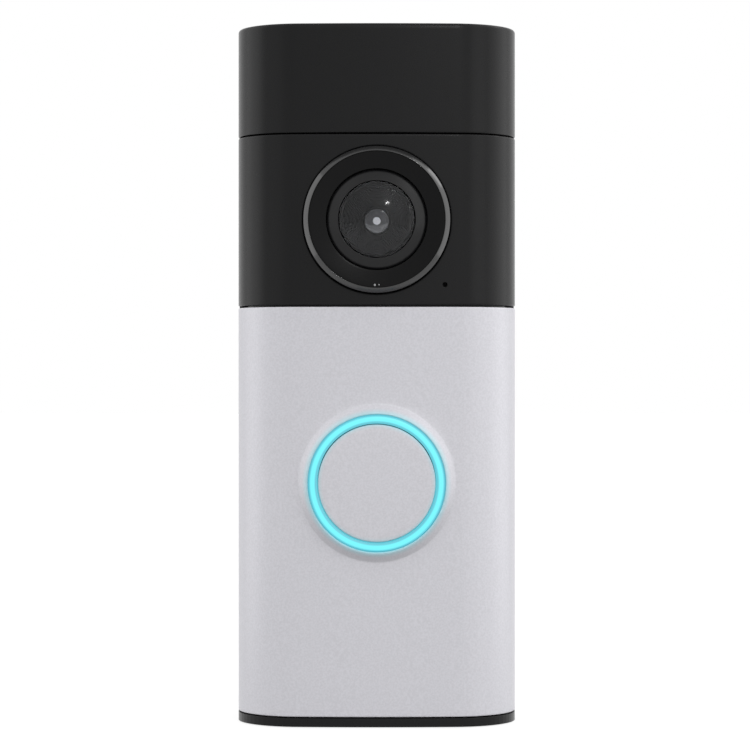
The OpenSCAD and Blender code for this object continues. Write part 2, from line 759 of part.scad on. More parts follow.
module lens_barrel() {
    mouth_r = lens_r - 0.6;
    step_r = (mouth_r - bore_r) / baffle_steps;
    step_u = 0.9;
    color(soft_black) turned(lens_z, concat(
        [[bore_r, barrel_low_u], [barrel_r, barrel_low_u], [barrel_r, bezel_flange_u + 0.1],
         [lens_r, bezel_flange_u + 0.1], [lens_r, head_top_u - touch], [mouth_r, head_top_u - touch]],
        [for (i = [0 : baffle_steps - 1], k = [0, 1])
            [mouth_r - (i + k) * step_r, head_top_u - touch - (i + 1) * step_u]]));
}

module inner_elements() {
    r = bore_r - touch;
    low_u = head_top_u - 6.6;
    color(glass) {
        turned(lens_z, concat([[0, low_u], [r, low_u], [r, low_u + 0.6]],
            [for (i = [1 : 4]) [r * cos(22.5 * i), low_u + 0.6 + 0.7 * sin(22.5 * i)]]));
        rod(0, lens_z, r, barrel_low_u + 1, barrel_low_u + 2);
    }
}

module lens_holder() {
    color(soft_black) difference() {
        box(-holder_half, holder_half, holder_low_u, retainer_u, lens_z - holder_half, lens_z + holder_half);
        rod(0, lens_z, barrel_r + touch, barrel_low_u, retainer_u + 1);
        rod(0, lens_z, 3, slot_high_u - 1, barrel_low_u + 1);
        box(-holder_half - 1, holder_half + 1, holder_lid_u, slot_high_u,
            lens_z - slot_half_h, lens_z + slot_half_h);
        box(-3, 3, holder_low_u, holder_lid_u + 1, lens_z - 3, lens_z + 3);
        box(-5, 5, holder_low_u - 1, holder_lid_u - 0.2, lens_z - 4, lens_z + 4);
    }
}

module filter_frame() {
    reach = holder_half + 1;
    color(steel) difference() {
        box(-reach, reach - filter_travel, holder_lid_u + frame_play, slot_high_u - frame_play,
            lens_z - slot_half_h + frame_play, lens_z + slot_half_h - frame_play);
        for (x = [0, -filter_travel])
            box(x - pane_half, x + pane_half, holder_lid_u, slot_high_u,
                lens_z - pane_half, lens_z + pane_half);
    }
}

module filter_panes() {
    color(glass) for (x = [0, -filter_travel])
        box(x - pane_half + touch, x + pane_half - touch, holder_lid_u + 0.6, holder_lid_u + 1.1,
            lens_z - pane_half + touch, lens_z + pane_half - touch);
}

module filter_coil() {
    low_z = lens_z + holder_half;
    color(brass) box(-4, 4, slot_high_u - 1, slot_high_u + 4, low_z, low_z + 3.5);
}

module sensor_board() {
    color(board_green) slab(2 * holder_half + 5, 2 * holder_half + 2, 1,
        holder_low_u - sensor_board_t, holder_low_u, 0, lens_z);
}

module image_sensor() {
    color(glass) box(-3.6, 3.6, holder_low_u, holder_low_u + 0.7, lens_z - 2.8, lens_z + 2.8);
}

// ---------- Boards and battery ----------

module main_board() {
    color(board_green) difference() {
        slab(2 * board_half_w, board_high_z - board_low_z, 1.5, board_u, board_front_u,
            0, (board_high_z + board_low_z) / 2);
        board_posts(board_u - 1, board_front_u + 1, screw_r + 0.15);
        housing_bosses(board_u - 1, board_front_u + 1, boss_r + 0.4);
    }
}

module shield_cans() {
    color(steel) {
        box(can_x, 2, board_front_u, board_front_u + can_h,
            board_high_z - 2 - can_l, board_high_z - 2);
        box(can_x, 6, board_front_u, board_front_u + can_h, board_low_z + 1, board_low_z + 1 + can_l);
    }
}

module board_chips() {
    color(soft_black) {
        chip(5, 8, 8, board_high_z - 11);
        chip(8.5, 5, 6, board_low_z + 3.6);
        box(-connector_w / 2, connector_w / 2, connector_u, board_u,
            connector_high_z - connector_h, connector_high_z);
        box(setup_x - setup_r, setup_x + setup_r, setup_switch_u, board_u,
            service_z - setup_r, service_z + setup_r);
    }
}

module chip(x, w, h, z) {
    box(x, x + w, board_front_u, board_front_u + chip_h, z, z + h);
}

module board_screws() {
    color(steel) {
        for (z = board_post_zs, s = [-1, 1]) front_screw(s * board_post_x, z, board_front_u);
        for (s = [-1, 1]) front_screw(s * motion_post_x, motion_post_z, motion_u + motion_t);
    }
}

// A small screw driven from the front, with its head on the face at seat_u
module front_screw(x, z, seat_u) {
    rod(x, z, 1.7, seat_u, seat_u + 0.9);
    rod(x, z, screw_r, seat_u - 4.5, seat_u);
}

module battery_cell() {
    color(cell_blue) slab(cell_w, cell_h, 1.5, cell_u, cell_u + cell_t, 0, cell_low_z + cell_h / 2);
}

module battery_frame() {
    w = cell_w + 2 * cell_clear;
    h = cell_h + 2 * cell_clear;
    z = cell_low_z + cell_h / 2;
    color(soft_black) difference() {
        slab(w + 2 * cell_wall, h + 2 * cell_wall, 2, inside_u, cell_u + cell_t, 0, z);
        slab(w, h, 1.6, cell_u - touch, cell_u + cell_t + 1, 0, z);
        box(lead_x - lead_w / 2 - 0.5, lead_x + lead_w / 2 + 0.5,
            cell_u + cell_t / 2 - 1, cell_u + cell_t + 1, z, z + h);
    }
}

module battery_lead() {
    u = cell_u + cell_t / 2;
    top_z = cell_low_z + cell_h;
    color(flex_amber) across(lead_w, [
        [u, top_z], [u, top_z + 2.2], [board_u, top_z + 2.2], [board_u, top_z + 2],
        [u + 0.2, top_z + 2], [u + 0.2, top_z]], lead_x);
}

module flex_cables() {
    t = 0.2;
    color(flex_amber) {
        camera_flex(t);
        motion_flex(t);
        mic_flex(t);
        across(6, ribbon(button_board_u, board_front_u, button_z + 8, t));
        box(7.5, 10.5, board_front_u, board_front_u + t, band_z + 0.25 + speaker_h, board_low_z + 2.6);
    }
}

// The side view of a folded ribbon that joins the faces at depths high_u and low_u, stepping down at z
function ribbon(high_u, low_u, z, t) = [
    [high_u, z + 4], [high_u, z], [low_u + t, z], [low_u + t, z - 4], [low_u, z - 4],
    [low_u, z + t], [high_u - t, z + t], [high_u - t, z + 4]];

// Runs down the back of the sensor board and steps over to the main board's connector above the board
module camera_flex(t) {
    back_u = holder_low_u - sensor_board_t;
    turn_z = board_high_z + flex_turn;
    half = camera_flex_w / 2;
    box(-half, half, back_u - t, back_u, turn_z, lens_z - 6);
    box(-half, half, min(back_u, connector_u) - t, max(back_u, connector_u), turn_z, turn_z + t);
    box(-half, half, connector_u - t, connector_u, connector_high_z - connector_h / 2, turn_z + t);
}

// Runs from the motion sensor board down beside the camera to the back of the main board
module motion_flex(t) {
    u0 = joint_u - 0.4;
    u1 = u0 + t;
    x0 = -12.9;
    x1 = -11.2;
    top_z = motion_z - motion_h / 2 + 0.3;
    turn_z = cover_z - bulkhead_t - 1;
    foot_z = board_high_z - 2;
    box(-1.5, 1.5, motion_u - t, motion_u, top_z, top_z + 2);
    box(-1.5, 1.5, u0, motion_u, top_z, top_z + t);
    box(-1.5, 1.5, u0, u1, turn_z - 3, top_z + t);
    box(x0, 1.5, u0, u1, turn_z - 3, turn_z);
    box(x0, x1, u0, u1, foot_z, turn_z);
    box(x0, x1, u0, board_u, foot_z, foot_z + t);
    box(x0, x1, board_u - t, board_u, foot_z - 2.2, foot_z + t);
}

module mic_flex(t) {
    z = lens_z - mic_drop - 2.4;
    box(mic_x - 1, mic_x + 1, mic_back_u - t, mic_back_u, z, z + 2);
    box(mic_x - 1, mic_x + 1, board_front_u, mic_back_u, z, z + t);
    box(mic_x - 1, mic_x + 1, board_front_u, board_front_u + t, board_high_z - 2.4, z + t);
}

// ---------- Microphone and motion sensors ----------

mic_boot_r = 1.7;
mic_boot_l = 1.9;
mic_u = front_depth(mic_x + mic_boot_r, shell_t) - touch - mic_boot_l;
mic_back_u = mic_u - 1.5;

module mic_boot() {
    z = lens_z - mic_drop;
    color(silicone) difference() {
        rod(mic_x, z, mic_boot_r, mic_u, mic_u + mic_boot_l);
        rod(mic_x, z, mic_r + 0.1, mic_u - 1, mic_u + mic_boot_l + 1);
    }
}

module microphone() {
    z = lens_z - mic_drop;
    color(gold) {
        box(mic_x - 1.9, mic_x + 1.9, mic_u - 1, mic_u, z - 1.4, z + 1.4);
        box(mic_x - 2.6, mic_x + 2.6, mic_back_u, mic_u - 1, z - 2.4, z + 2.4);
    }
}

module motion_board() {
    color(board_green) difference() {
        slab(motion_w, motion_h, 1, motion_u, motion_u + motion_t, 0, motion_z);
        both_sides(motion_post_x) rod(0, motion_post_z, screw_r + 0.15, motion_u - 1, motion_u + 2);
        cover_bosses(motion_u - 1, motion_u + 2, boss_r + 0.3);
    }
}

module motion_sensors() {
    u = motion_u + motion_t;
    color(nickel) both_sides(motion_can_x) {
        rod(0, motion_z + 1, motion_can_r, u, u + 0.5);
        rod(0, motion_z + 1, motion_can_r - 0.5, u + 0.5, u + 4);
    }
}

module fresnel_sheet() {
    color(smoke) intersection() {
        difference() {
            front_block(shell_t + 0.1, joint_u, cover_z + 2, half_h - joint_t - 0.3);
            front_block(shell_t + 0.9, joint_u - 1, cover_z, half_h);
        }
        box(-sheet_half_w, sheet_half_w, joint_u, front_u, cover_z, half_h);
    }
}

module antenna() {
    z = motion_z + 4;
    color(steel) {
        box(-12, 12, motion_u - 1.6, motion_u - 1.3, z, z + 2.6);
        both_sides(11) box(-0.6, 0.6, motion_u - 1.3, motion_u, z, z + 2.6);
    }
}

// ---------- Speaker ----------

module speaker_block(w, d, z0, z1) {
    translate([0, -speaker_u, z0]) linear_extrude(z1 - z0) polygon(rounded(w, d, d / 2 - 0.2, 8));
}

module speaker_mesh() {
    color(smoke) speaker_block(speaker_w - 0.4, speaker_d - 0.4, band_z, band_z + 0.25);
}

module speaker_basket() {
    low_z = band_z + 0.25;
    color(soft_black) difference() {
        speaker_block(speaker_w, speaker_d, low_z, low_z + speaker_h);
        speaker_block(speaker_w - 2 * speaker_wall, speaker_d - 2 * speaker_wall,
            low_z - 1, low_z + speaker_h - 1);
        translate([0, -speaker_u, low_z]) cylinder(r = magnet_r + touch, h = speaker_h + 1);
    }
}

module speaker_cone() {
    low_z = band_z + 0.9;
    gap = speaker_wall + touch;
    color(silicone) difference() {
        speaker_block(speaker_w - 2 * gap, speaker_d - 2 * gap, low_z, low_z + 0.9);
        speaker_block(speaker_w - 2 * gap - 2, speaker_d - 2 * gap - 2, low_z - 0.5, low_z + 0.5);
    }
}

module speaker_magnet() {
    color(steel) translate([0, -speaker_u, band_z + 2.1]) cylinder(r = magnet_r, h = magnet_h);
}

// ---------- Button ----------

module light_ring() {
    flange_r = ring_r + ring_flange;
    flange_top_u = frame_back_u - 2 * touch;
    color(cyan) turned(button_z, [
        [ring_inner_r, lamp_u + lamp_h + 0.1], [ring_r, lamp_u + lamp_h + 0.1], [ring_r, ring_flange_u],
        [flange_r, ring_flange_u], [flange_r, flange_top_u], [ring_r, flange_top_u],
        [ring_r, ring_front_u], [ring_inner_r, ring_front_u]]);
}

module button_board() {
    color(soft_black) difference() {
        rod(0, button_z, button_board_r, button_board_u, lamp_u);
        for (a = button_screw_angles)
            rod(button_screw_pitch_r * cos(a), button_z + button_screw_pitch_r * sin(a),
                button_screw_r + 0.1, button_board_u - 1, lamp_u + 1);
    }
}

module ring_leds() {
    mid_r = (ring_r + ring_inner_r) / 2;
    color(nickel) for (i = [0 : ring_lamps - 1])
        translate([0, 0, button_z]) rotate([0, i * 360 / ring_lamps, 0])
            box(mid_r - 0.65, mid_r + 0.65, lamp_u, lamp_u + lamp_h, -0.9, 0.9);
}

module switch_body() {
    half = switch_size / 2;
    color(steel) difference() {
        box(-half, half, lamp_u, lamp_u + switch_h, button_z - half, button_z + half);
        rod(0, button_z, stem_r + slide_gap, stem_top_u - stem_l - press - 0.1, lamp_u + switch_h + 1);
    }
}

module switch_stem() {
    color(soft_black) rod(0, button_z, stem_r, stem_top_u - stem_l, stem_top_u);
}

module button_guide() {
    wall_r = ring_inner_r - slide_gap;
    color(soft_black) turned(button_z, [
        [wall_r - 1, lamp_u], [wall_r, lamp_u], [wall_r, guide_front_u], [plunger_r + 0.08, guide_front_u],
        [plunger_r + 0.08, guide_front_u - guide_web_t], [wall_r - 1, guide_front_u - guide_web_t]]);
}

module button_membrane() {
    low_u = guide_front_u + touch;
    high_u = low_u + membrane_t;
    color(silicone) turned(button_z, [
        [plunger_r + 0.4, low_u], [cap_r - 1.4, low_u], [cap_r - 1.4, high_u], [cap_r - 2.4, high_u],
        [cap_r - 2.4, high_u - 0.3], [plunger_r + 1.4, high_u - 0.3], [plunger_r + 1.4, high_u],
        [plunger_r + 0.4, high_u]]);
}

module button_plunger() {
    color(soft_black) turned(button_z, [
        [0, stem_top_u], [plunger_r, stem_top_u], [plunger_r, plunger_plate_u], [cap_r - 1, plunger_plate_u],
        [cap_r - 1, cap_back_u], [0, cap_back_u]]);
}

module button_cap() {
    color(nickel) turned(button_z, [
        [0, cap_back_u], [cap_r, cap_back_u], [cap_r, ring_front_u - 0.3],
        [cap_r - 0.3, ring_front_u], [0, ring_front_u + 0.1]]);
}

module button_screws() {
    color(steel) for (a = button_screw_angles)
        screw(button_screw_pitch_r * cos(a), button_z + button_screw_pitch_r * sin(a),
              button_board_u - small_head_t,
              lamp_u + 2.4, button_screw_r, small_head_r, small_head_t);
}

// ---------- Rear services ----------

module usb_port() {
    color(steel) difference() {
        slab(port_w, port_h, 1.2, port_mouth_u, board_u, 0, service_z);
        slab(port_w - 2 * port_wall, port_h - 2 * port_wall, 1, port_mouth_u - 1, board_u - 1.5,
            0, service_z);
    }
}

module port_cover() {
    nub_w = port_w - 2 * port_wall - 0.5;
    nub_h = port_h - 2 * port_wall - 0.3;
    color(silicone) {
        box(port_hinge_x, port_cover_w / 2, port_hinge_u - 0.4, port_hinge_u + 0.4,
            service_z - port_cover_h / 2, service_z + port_cover_h / 2);
        translate([port_hinge_x, -port_hinge_u, service_z - port_cover_h / 2])
            cylinder(r = port_bead_r, h = port_cover_h);
        slab(nub_w, nub_h, 0.9, port_hinge_u + 0.3, port_hinge_u + 1.4, 0, service_z);
    }
}

module setup_key() {
    color("orange") {
        rod(setup_x, service_z, setup_r, floor_u + 0.2, setup_switch_u - setup_travel - 0.1);
        rod(setup_x, service_z, setup_r + 0.6, inside_u + 0.3, inside_u + 1.3);
    }
}

module terminal_screws() {
    color(brass) for (s = [-1, 1])
        screw(s * terminal_x, terminal_z, terminal_u - 1.6, terminal_u + terminal_l,
              terminal_shank_r, terminal_head_r, 1.6);
}

// ---------- Assembly ----------

bracket_plate();
bracket_clip();
clip_rivets();
rear_housing();
front_housing();
top_cover();
housing_seal();
housing_screws();
cover_screws();
main_board();
shield_cans();
board_chips();
board_screws();
battery_cell();
battery_frame();
battery_lead();
camera_bezel();
ir_window();
ir_board();
ir_leds();
light_sensor();
camera_retainer();
camera_screws();
lens_shroud();
front_element();
lens_barrel();
inner_elements();
lens_holder();
filter_coil();
filter_frame();
filter_panes();
sensor_board();
image_sensor();
flex_cables();
microphone();
mic_boot();
motion_board();
motion_sensors();
fresnel_sheet();
antenna();
speaker_mesh();
speaker_basket();
speaker_cone();
speaker_magnet();
light_ring();
button_board();
ring_leds();
switch_body();
switch_stem();
button_guide();
button_membrane();
button_screws();
button_cap();
button_plunger();
faceplate();
usb_port();
port_cover();
setup_key();
terminal_screws();
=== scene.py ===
"""Dressed model of a battery video doorbell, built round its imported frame."""

import logging
import math
from collections import Counter
from dataclasses import dataclass
from enum import Enum
from functools import cache
from typing import Callable, Optional, Sequence, Union

import bmesh
import bpy
from mathutils import Euler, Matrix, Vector


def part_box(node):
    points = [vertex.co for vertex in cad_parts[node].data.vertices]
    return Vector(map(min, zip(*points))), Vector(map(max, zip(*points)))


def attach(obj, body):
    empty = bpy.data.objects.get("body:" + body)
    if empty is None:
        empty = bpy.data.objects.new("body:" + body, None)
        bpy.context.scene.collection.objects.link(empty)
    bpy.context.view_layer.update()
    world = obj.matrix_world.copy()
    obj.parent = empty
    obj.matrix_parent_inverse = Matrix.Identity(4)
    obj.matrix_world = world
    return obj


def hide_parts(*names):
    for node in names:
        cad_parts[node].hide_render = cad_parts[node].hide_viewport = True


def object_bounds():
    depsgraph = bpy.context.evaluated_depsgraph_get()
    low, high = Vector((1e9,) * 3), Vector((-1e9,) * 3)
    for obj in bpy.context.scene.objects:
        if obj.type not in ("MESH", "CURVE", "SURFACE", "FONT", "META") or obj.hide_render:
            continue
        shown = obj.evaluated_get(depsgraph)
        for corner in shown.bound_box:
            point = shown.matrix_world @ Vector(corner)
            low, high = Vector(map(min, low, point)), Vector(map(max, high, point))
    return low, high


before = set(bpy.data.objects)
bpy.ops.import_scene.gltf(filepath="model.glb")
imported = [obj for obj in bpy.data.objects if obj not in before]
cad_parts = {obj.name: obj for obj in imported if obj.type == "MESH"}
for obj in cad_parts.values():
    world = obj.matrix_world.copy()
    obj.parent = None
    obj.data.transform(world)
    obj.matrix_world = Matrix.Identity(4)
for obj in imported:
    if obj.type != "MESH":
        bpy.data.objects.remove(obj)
CAD_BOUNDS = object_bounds()

MM = 0.001
QUARTER = math.pi / 2
SIDES = (-1, 1)
log = logging.getLogger("doorbell")

Point = tuple[float, float]
Spot = tuple[float, float, float]
Colour = tuple[float, float, float]
Faces = Sequence[Sequence[int]]
Value = Union[float, tuple, bpy.types.NodeSocket, "Signal"]


class Body(Enum):
    """The moving bodies of the doorbell that carry new pieces."""

    UNIT = "unit"
    FACEPLATE = "faceplate"
    BUTTON = "button"


class Slot(Enum):
    """Material slots of the record."""

    HOUSING = "housing_black"
    SILVER = "silver_face"
    CAMERA = "camera_black"
    WINDOW = "dark_window"
    GLASS = "optical_glass"
    INNER = "inner_black"
    SENSOR = "sensor_glass"
    LIGHT = "light_pipe"


def low(node: str) -> Vector:
    """Lowest corner of a CAD node, in millimetres."""
    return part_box(node)[0] / MM


def high(node: str) -> Vector:
    """Highest corner of a CAD node, in millimetres."""
    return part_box(node)[1] / MM


def depths(node: str) -> Point:
    """Depths of a CAD node's back and front from the wall, in millimetres."""
    return -high(node).y, -low(node).y


def heights(node: str) -> Point:
    """Heights of a CAD node's foot and top, in millimetres."""
    return low(node).z, high(node).z


def middle_z(node: str) -> float:
    """Height of the middle of a CAD node, in millimetres."""
    return sum(heights(node)) / 2


def spread(start: float, end: float, steps: int) -> list[float]:
    """Evenly spaced numbers from start to end, with this many steps between them."""
    return [start + (end - start) * i / steps for i in range(steps + 1)]


def quarter(centre: Point, reach: Point, steps: int) -> list[Point]:
    """A quarter of an ellipse from its side to its front, by its centre and half sizes."""
    turns = spread(0, QUARTER, steps)
    return [(centre[0] + reach[0] * math.cos(a), centre[1] + reach[1] * math.sin(a)) for a in turns]


def add_object(name: str, data: bpy.types.ID) -> bpy.types.Object:
    """Adds an object to the scene.

    Args:
        name: The object's name.
        data: Its mesh, lamp or camera.

    Returns:
        The object.
    """
    made = bpy.data.objects.new(name, data)
    bpy.context.scene.collection.objects.link(made)
    return made


CAMERA_Z = middle_z("camera_bezel")
BUTTON_Z = middle_z("button_cap")
BEZEL_FLANGE = 0.8
RING_FLANGE = 1.2


# ---------- Shader graphs ----------


class Signal:
    """A number carried by a node's output, with its maths written as Python."""

    def __init__(self, graph: "Graph", socket: bpy.types.NodeSocket) -> None:
        """Keeps the graph and the socket that carries the number."""
        self.graph = graph
        self.socket = socket

    def maths(self, operation: str, *values: Value) -> "Signal":
        """The result of a Math node with these inputs."""
        node = self.graph.node("ShaderNodeMath", {"operation": operation}, dict(enumerate(values)))
        return Signal(self.graph, node.outputs[0])

    def __add__(self, other: Value) -> "Signal":
        """Adds a number or signal."""
        return self.maths("ADD", self, other)

    def __sub__(self, other: Value) -> "Signal":
        """Takes a number or signal away."""
        return self.maths("SUBTRACT", self, other)

    def __rsub__(self, other: Value) -> "Signal":
        """Takes this signal away from a number."""
        return self.maths("SUBTRACT", other, self)

    def __mul__(self, other: Value) -> "Signal":
        """Multiplies by a number or signal."""
        return self.maths("MULTIPLY", self, other)

    def __truediv__(self, other: Value) -> "Signal":
        """Divides by a number or signal."""
        return self.maths("DIVIDE", self, other)

    __radd__ = __add__
    __rmul__ = __mul__

    def magnitude(self) -> "Signal":
        """The value without its sign."""
        return self.maths("ABSOLUTE", self)

    def eased(self, start: float, end: float) -> "Signal":
        """Eases from 0 at start to 1 at end.

        Args:
            start: The value where the result is 0.
            end: The value where the result is 1.

        Returns:
            A signal between 0 and 1.
        """
        ends = {"Value": self, "From Min": start, "From Max": end}
        node = self.graph.node("ShaderNodeMapRange", {"interpolation_type": "SMOOTHSTEP"}, ends)
        return Signal(self.graph, node.outputs[0])


class Graph:
    """The nodes of one material or of the world."""

    def __init__(self, tree: bpy.types.NodeTree) -> None:
        """Empties the tree that the nodes go into."""
        self.tree = tree
        tree.nodes.clear()

    def node(
        self, kind: str, settings: Optional[dict] = None, inputs: Optional[dict] = None
    ) -> bpy.types.Node:
        """Adds a node.

        Args:
            kind: The node's type.
            settings: Properties of the node, which are set first.
            inputs: Values, sockets or signals for its inputs, by name or index.

        Returns:
            The new node.
        """
        made = self.tree.nodes.new(kind)
        for key, value in (settings or {}).items():
            setattr(made, key, value)
        for key, value in (inputs or {}).items():
            source = value.socket if isinstance(value, Signal) else value
            if isinstance(source, bpy.types.NodeSocket):
                self.tree.links.new(source, made.inputs[key])
            else:
                made.inputs[key].default_value = source
        return made

    def place(self) -> bpy.types.NodeSocket:
        """The surface point in the piece's own axes, in metres."""
        return self.node("ShaderNodeTexCoord").outputs["Object"]

    def background_rays(self) -> Signal:
        """Tells the rays that see the white background: camera, glossy and transmission.

        Returns:
            1 for each of the three kinds that the ray is, and 0 on any other.
        """
        paths = self.node("ShaderNodeLightPath").outputs
        camera, glossy, through = (
            Signal(self, paths[f"Is {kind} Ray"]) for kind in ("Camera", "Glossy", "Transmission")
        )
        return camera + glossy + through

    def noise(self, size: float, detail: float = 2.0) -> Signal:
        """Soft noise fixed to the piece, with patches of about this size in millimetres."""
        inputs = {"Vector": self.place(), "Scale": 1 / (size * MM), "Detail": detail}
        return Signal(self, self.node("ShaderNodeTexNoise", {}, inputs).outputs["Fac"])

    def axes(self) -> tuple[Signal, ...]:
        """The surface point's x, y and z in millimetres, in the piece's own axes."""
        parts = self.node("ShaderNodeSeparateXYZ", {}, {0: self.place()}).outputs
        return tuple(Signal(self, part) * (1 / MM) for part in parts)

    def radius(self, z: float) -> Signal:
        """Distance in millimetres from the depth axis at a height."""
        across, _, up = self.axes()
        return across.maths("SQRT", across * across + (up - z) * (up - z))

    def blend(self, factor: Value, first: Value, second: Value) -> bpy.types.NodeSocket:
        """A mix of two colours, which is the second where the factor is 1."""
        inputs = {0: factor, 6: opaque(first), 7: opaque(second)}
        return self.node("ShaderNodeMix", {"data_type": "RGBA"}, inputs).outputs[2]


def opaque(colour: Value) -> Value:
    """A colour with its alpha; sockets are passed on."""
    return (*colour, 1.0) if isinstance(colour, tuple) and len(colour) == 3 else colour


def tint(colour: Colour, factor: float) -> Colour:
    """A colour made lighter or darker by a factor."""
    red, green, blue = (min(part * factor, 1.0) for part in colour)
    return red, green, blue


# ---------- Finishes ----------


@dataclass(frozen=True)
class Finish:
    """A surface finish with mottled colour, uneven gloss and a fine grain."""

    name: str
    colour: Colour
    roughness: float
    metallic: float = 0.0
    coat: float = 0.0
    mottle: float = 0.08
    mottle_size: float = 3.0
    grain: float = 0.004
    grain_size: float = 0.15
    gloss_spread: float = 0.08
    edge: float = 0.0
    ior: float = 1.5
    transmission: float = 0.0
    coat_roughness: float = 0.03

    def shades(self, share: float) -> tuple[Colour, Colour]:
        """The finish's colour made darker and lighter by a share."""
        return tint(self.colour, 1 - share), tint(self.colour, 1 + share)

    def base(self, graph: Graph) -> Value:
        """The base colour over the surface."""
        return graph.blend(graph.noise(self.mottle_size), *self.shades(self.mottle))

    def gloss(self, graph: Graph) -> Value:
        """The roughness over the surface."""
        least = self.roughness - self.gloss_spread / 2
        return graph.noise(self.mottle_size / 2, 3.0) * self.gloss_spread + least

    def relief(self, graph: Graph) -> Value:
        """The height that the grain is made from, between 0 and 1."""
        return graph.noise(self.grain_size)

    def extras(self, graph: Graph) -> dict:
        """Further inputs of the surface shader."""
        return {}

    def glowing(self, colour: Value) -> dict:
        """The inputs of a surface that gives off a colour."""
        return {"Emission Color": colour, "Emission Strength": 1.0}

    @cache
    def material(self) -> bpy.types.Material:
        """Makes the material of this finish, once.

        Returns:
            The material.
        """
        made = bpy.data.materials.new(self.name)
        made.use_nodes = True
        graph = Graph(made.node_tree)
        inputs = {
            "Base Color": self.base(graph),
            "Roughness": self.gloss(graph),
            "Metallic": self.metallic,
            "Coat Weight": self.coat,
            "Coat Roughness": self.coat_roughness,
            "IOR": self.ior,
            "Transmission Weight": self.transmission,
        }
        if self.grain > 0:
            bump = {"Strength": 1.0, "Distance": self.grain * MM, "Height": self.relief(graph)}
            if self.edge > 0:
                softened = graph.node("ShaderNodeBevel", {"samples": 4}, {"Radius": self.edge * MM})
                bump["Normal"] = softened.outputs[0]
            inputs["Normal"] = graph.node("ShaderNodeBump", {}, bump).outputs[0]
        inputs.update(self.extras(graph))
        surface = graph.node("ShaderNodeBsdfPrincipled", {}, inputs)
        graph.node("ShaderNodeOutputMaterial", {}, {"Surface": surface.outputs[0]})
        made.diffuse_color = opaque(self.colour)
        return made


@dataclass(frozen=True)
class SatinSilver(Finish):
    """Satin silver paint with fine flakes, with the lit ring's light and the shade beside it
    painted into its colour near the ring.
    """

    flake: float = 0.05
    flake_size: float = 0.35
    # Painted light and shade: a darker cyan blended into the colour beside the ring stands for the
    # ring's light and the shade there.
    painted_ring_light: Colour = (0.20, 0.60, 0.66)
    painted_light_share: float = 0.75
    # Painted glow: the colour that the paint itself gives off beside the ring.
    painted_ring_glow: Colour = (0.0, 0.05, 0.07)
    ring_inner: float = 11.0
    ring_outer: float = 12.35
    painted_light_inside: float = 0.5
    painted_light_width: float = 1.3
    painted_light_depth: float = depths("top_cover")[1] - 0.9
    painted_light_soft: float = 0.4

    def base(self, graph: Graph) -> Value:
        """Colours the paint with its flakes, and paints the ring's cyan light and shade into it
        near the ring.

        Args:
            graph: The material's graph.

        Returns:
            The mixed colour.
        """
        flakes = graph.noise(self.flake_size, 4.0).eased(0.3, 0.7)
        paint = graph.blend(flakes, *self.shades(self.flake))
        # Painted light and shade: the colour turns darker cyan beside the ring.
        return graph.blend(self.painted_light_mask(graph) * self.painted_light_share, paint, self.painted_ring_light)

    def painted_light_mask(self, graph: Graph) -> Signal:
        """Masks where the ring's light and shade are painted into the paint.

        Args:
            graph: The material's graph.

        Returns:
            1 beside the ring, and 0 beyond the painted glow or inside the panel.
        """
        middle = (self.ring_inner + self.ring_outer) / 2
        half = (self.ring_outer - self.ring_inner) / 2
        away = (graph.radius(BUTTON_Z) - middle).magnitude() - half
        depth = graph.axes()[1] * -1
        painted_near = 1 - away.eased(-self.painted_light_inside, self.painted_light_width)
        return painted_near * depth.eased(self.painted_light_depth - self.painted_light_soft, self.painted_light_depth + self.painted_light_soft)

    def extras(self, graph: Graph) -> dict:
        """Painted light: the paint itself gives off a faint cyan glow beside the ring."""
        return self.glowing(graph.blend(self.painted_light_mask(graph), (0.0, 0.0, 0.0), self.painted_ring_glow))


@dataclass(frozen=True)
class LitRing(Finish):
    """A milky light pipe, brightest along the middle of its face."""

    core: Colour = (0.16, 0.83, 0.88)
    rim: Colour = (0.10, 0.47, 0.56)
    mid_radius: float = 11.60
    half_width: float = 0.62

    def extras(self, graph: Graph) -> dict:
        """The light that the ring gives off."""
        away = (graph.radius(BUTTON_Z) - self.mid_radius).magnitude() / self.half_width
        return self.glowing(graph.blend(away.eased(0.4, 1.0), self.core, self.rim))


@dataclass(frozen=True)
class CircuitBoard(Finish):
    """Solder mask with copper tracks under it and bare pads."""

    track: Colour = (0.05, 0.26, 0.12)
    pad: Colour = (0.72, 0.6, 0.32)
    pitch: float = 1.3
    bend: float = 7.0
    stagger: float = 3.0

    def base(self, graph: Graph) -> Value:
        """Colours the mask with its tracks and pads.

        Args:
            graph: The material's graph.

        Returns:
            The mixed colour.
        """
        across, _, up = graph.axes()
        lanes = graph.noise(4.0, 0.0) * self.bend + across / self.pitch + up / (self.pitch * 3)
        shifted = across / self.pitch + graph.noise(5.0, 0.0) * self.stagger
        tracks = lanes.maths("PINGPONG", shifted, 1.0).eased(0.55, 0.62)
        scale = {"Vector": graph.place(), "Scale": 1 / (self.pitch * MM)}
        dots = graph.node("ShaderNodeTexVoronoi", {}, scale)
        pads = 1 - Signal(graph, dots.outputs["Distance"]).eased(0.13, 0.17)
        return graph.blend(pads, graph.blend(tracks, self.colour, self.track), self.pad)


@dataclass(frozen=True)
class BrushedMetal(Finish):
    """Rolled or drawn metal with fine lines along its length."""

    metallic: float = 1.0
    edge: float = 0.08
    stretch: float = 14.0

    def relief(self, graph: Graph) -> Value:
        """Draws fine lines along the height.

        Args:
            graph: The material's graph.

        Returns:
            The height of the lines, between 0 and 1.
        """
        drawn = {"Vector": graph.place(), "Scale": (1, 1, 1 / self.stretch)}
        scaled = graph.node("ShaderNodeMapping", {}, drawn).outputs[0]
        inputs = {"Vector": scaled, "Scale": 1 / (self.grain_size * MM), "Detail": 2.0}
        return Signal(graph, graph.node("ShaderNodeTexNoise", {}, inputs).outputs["Fac"])


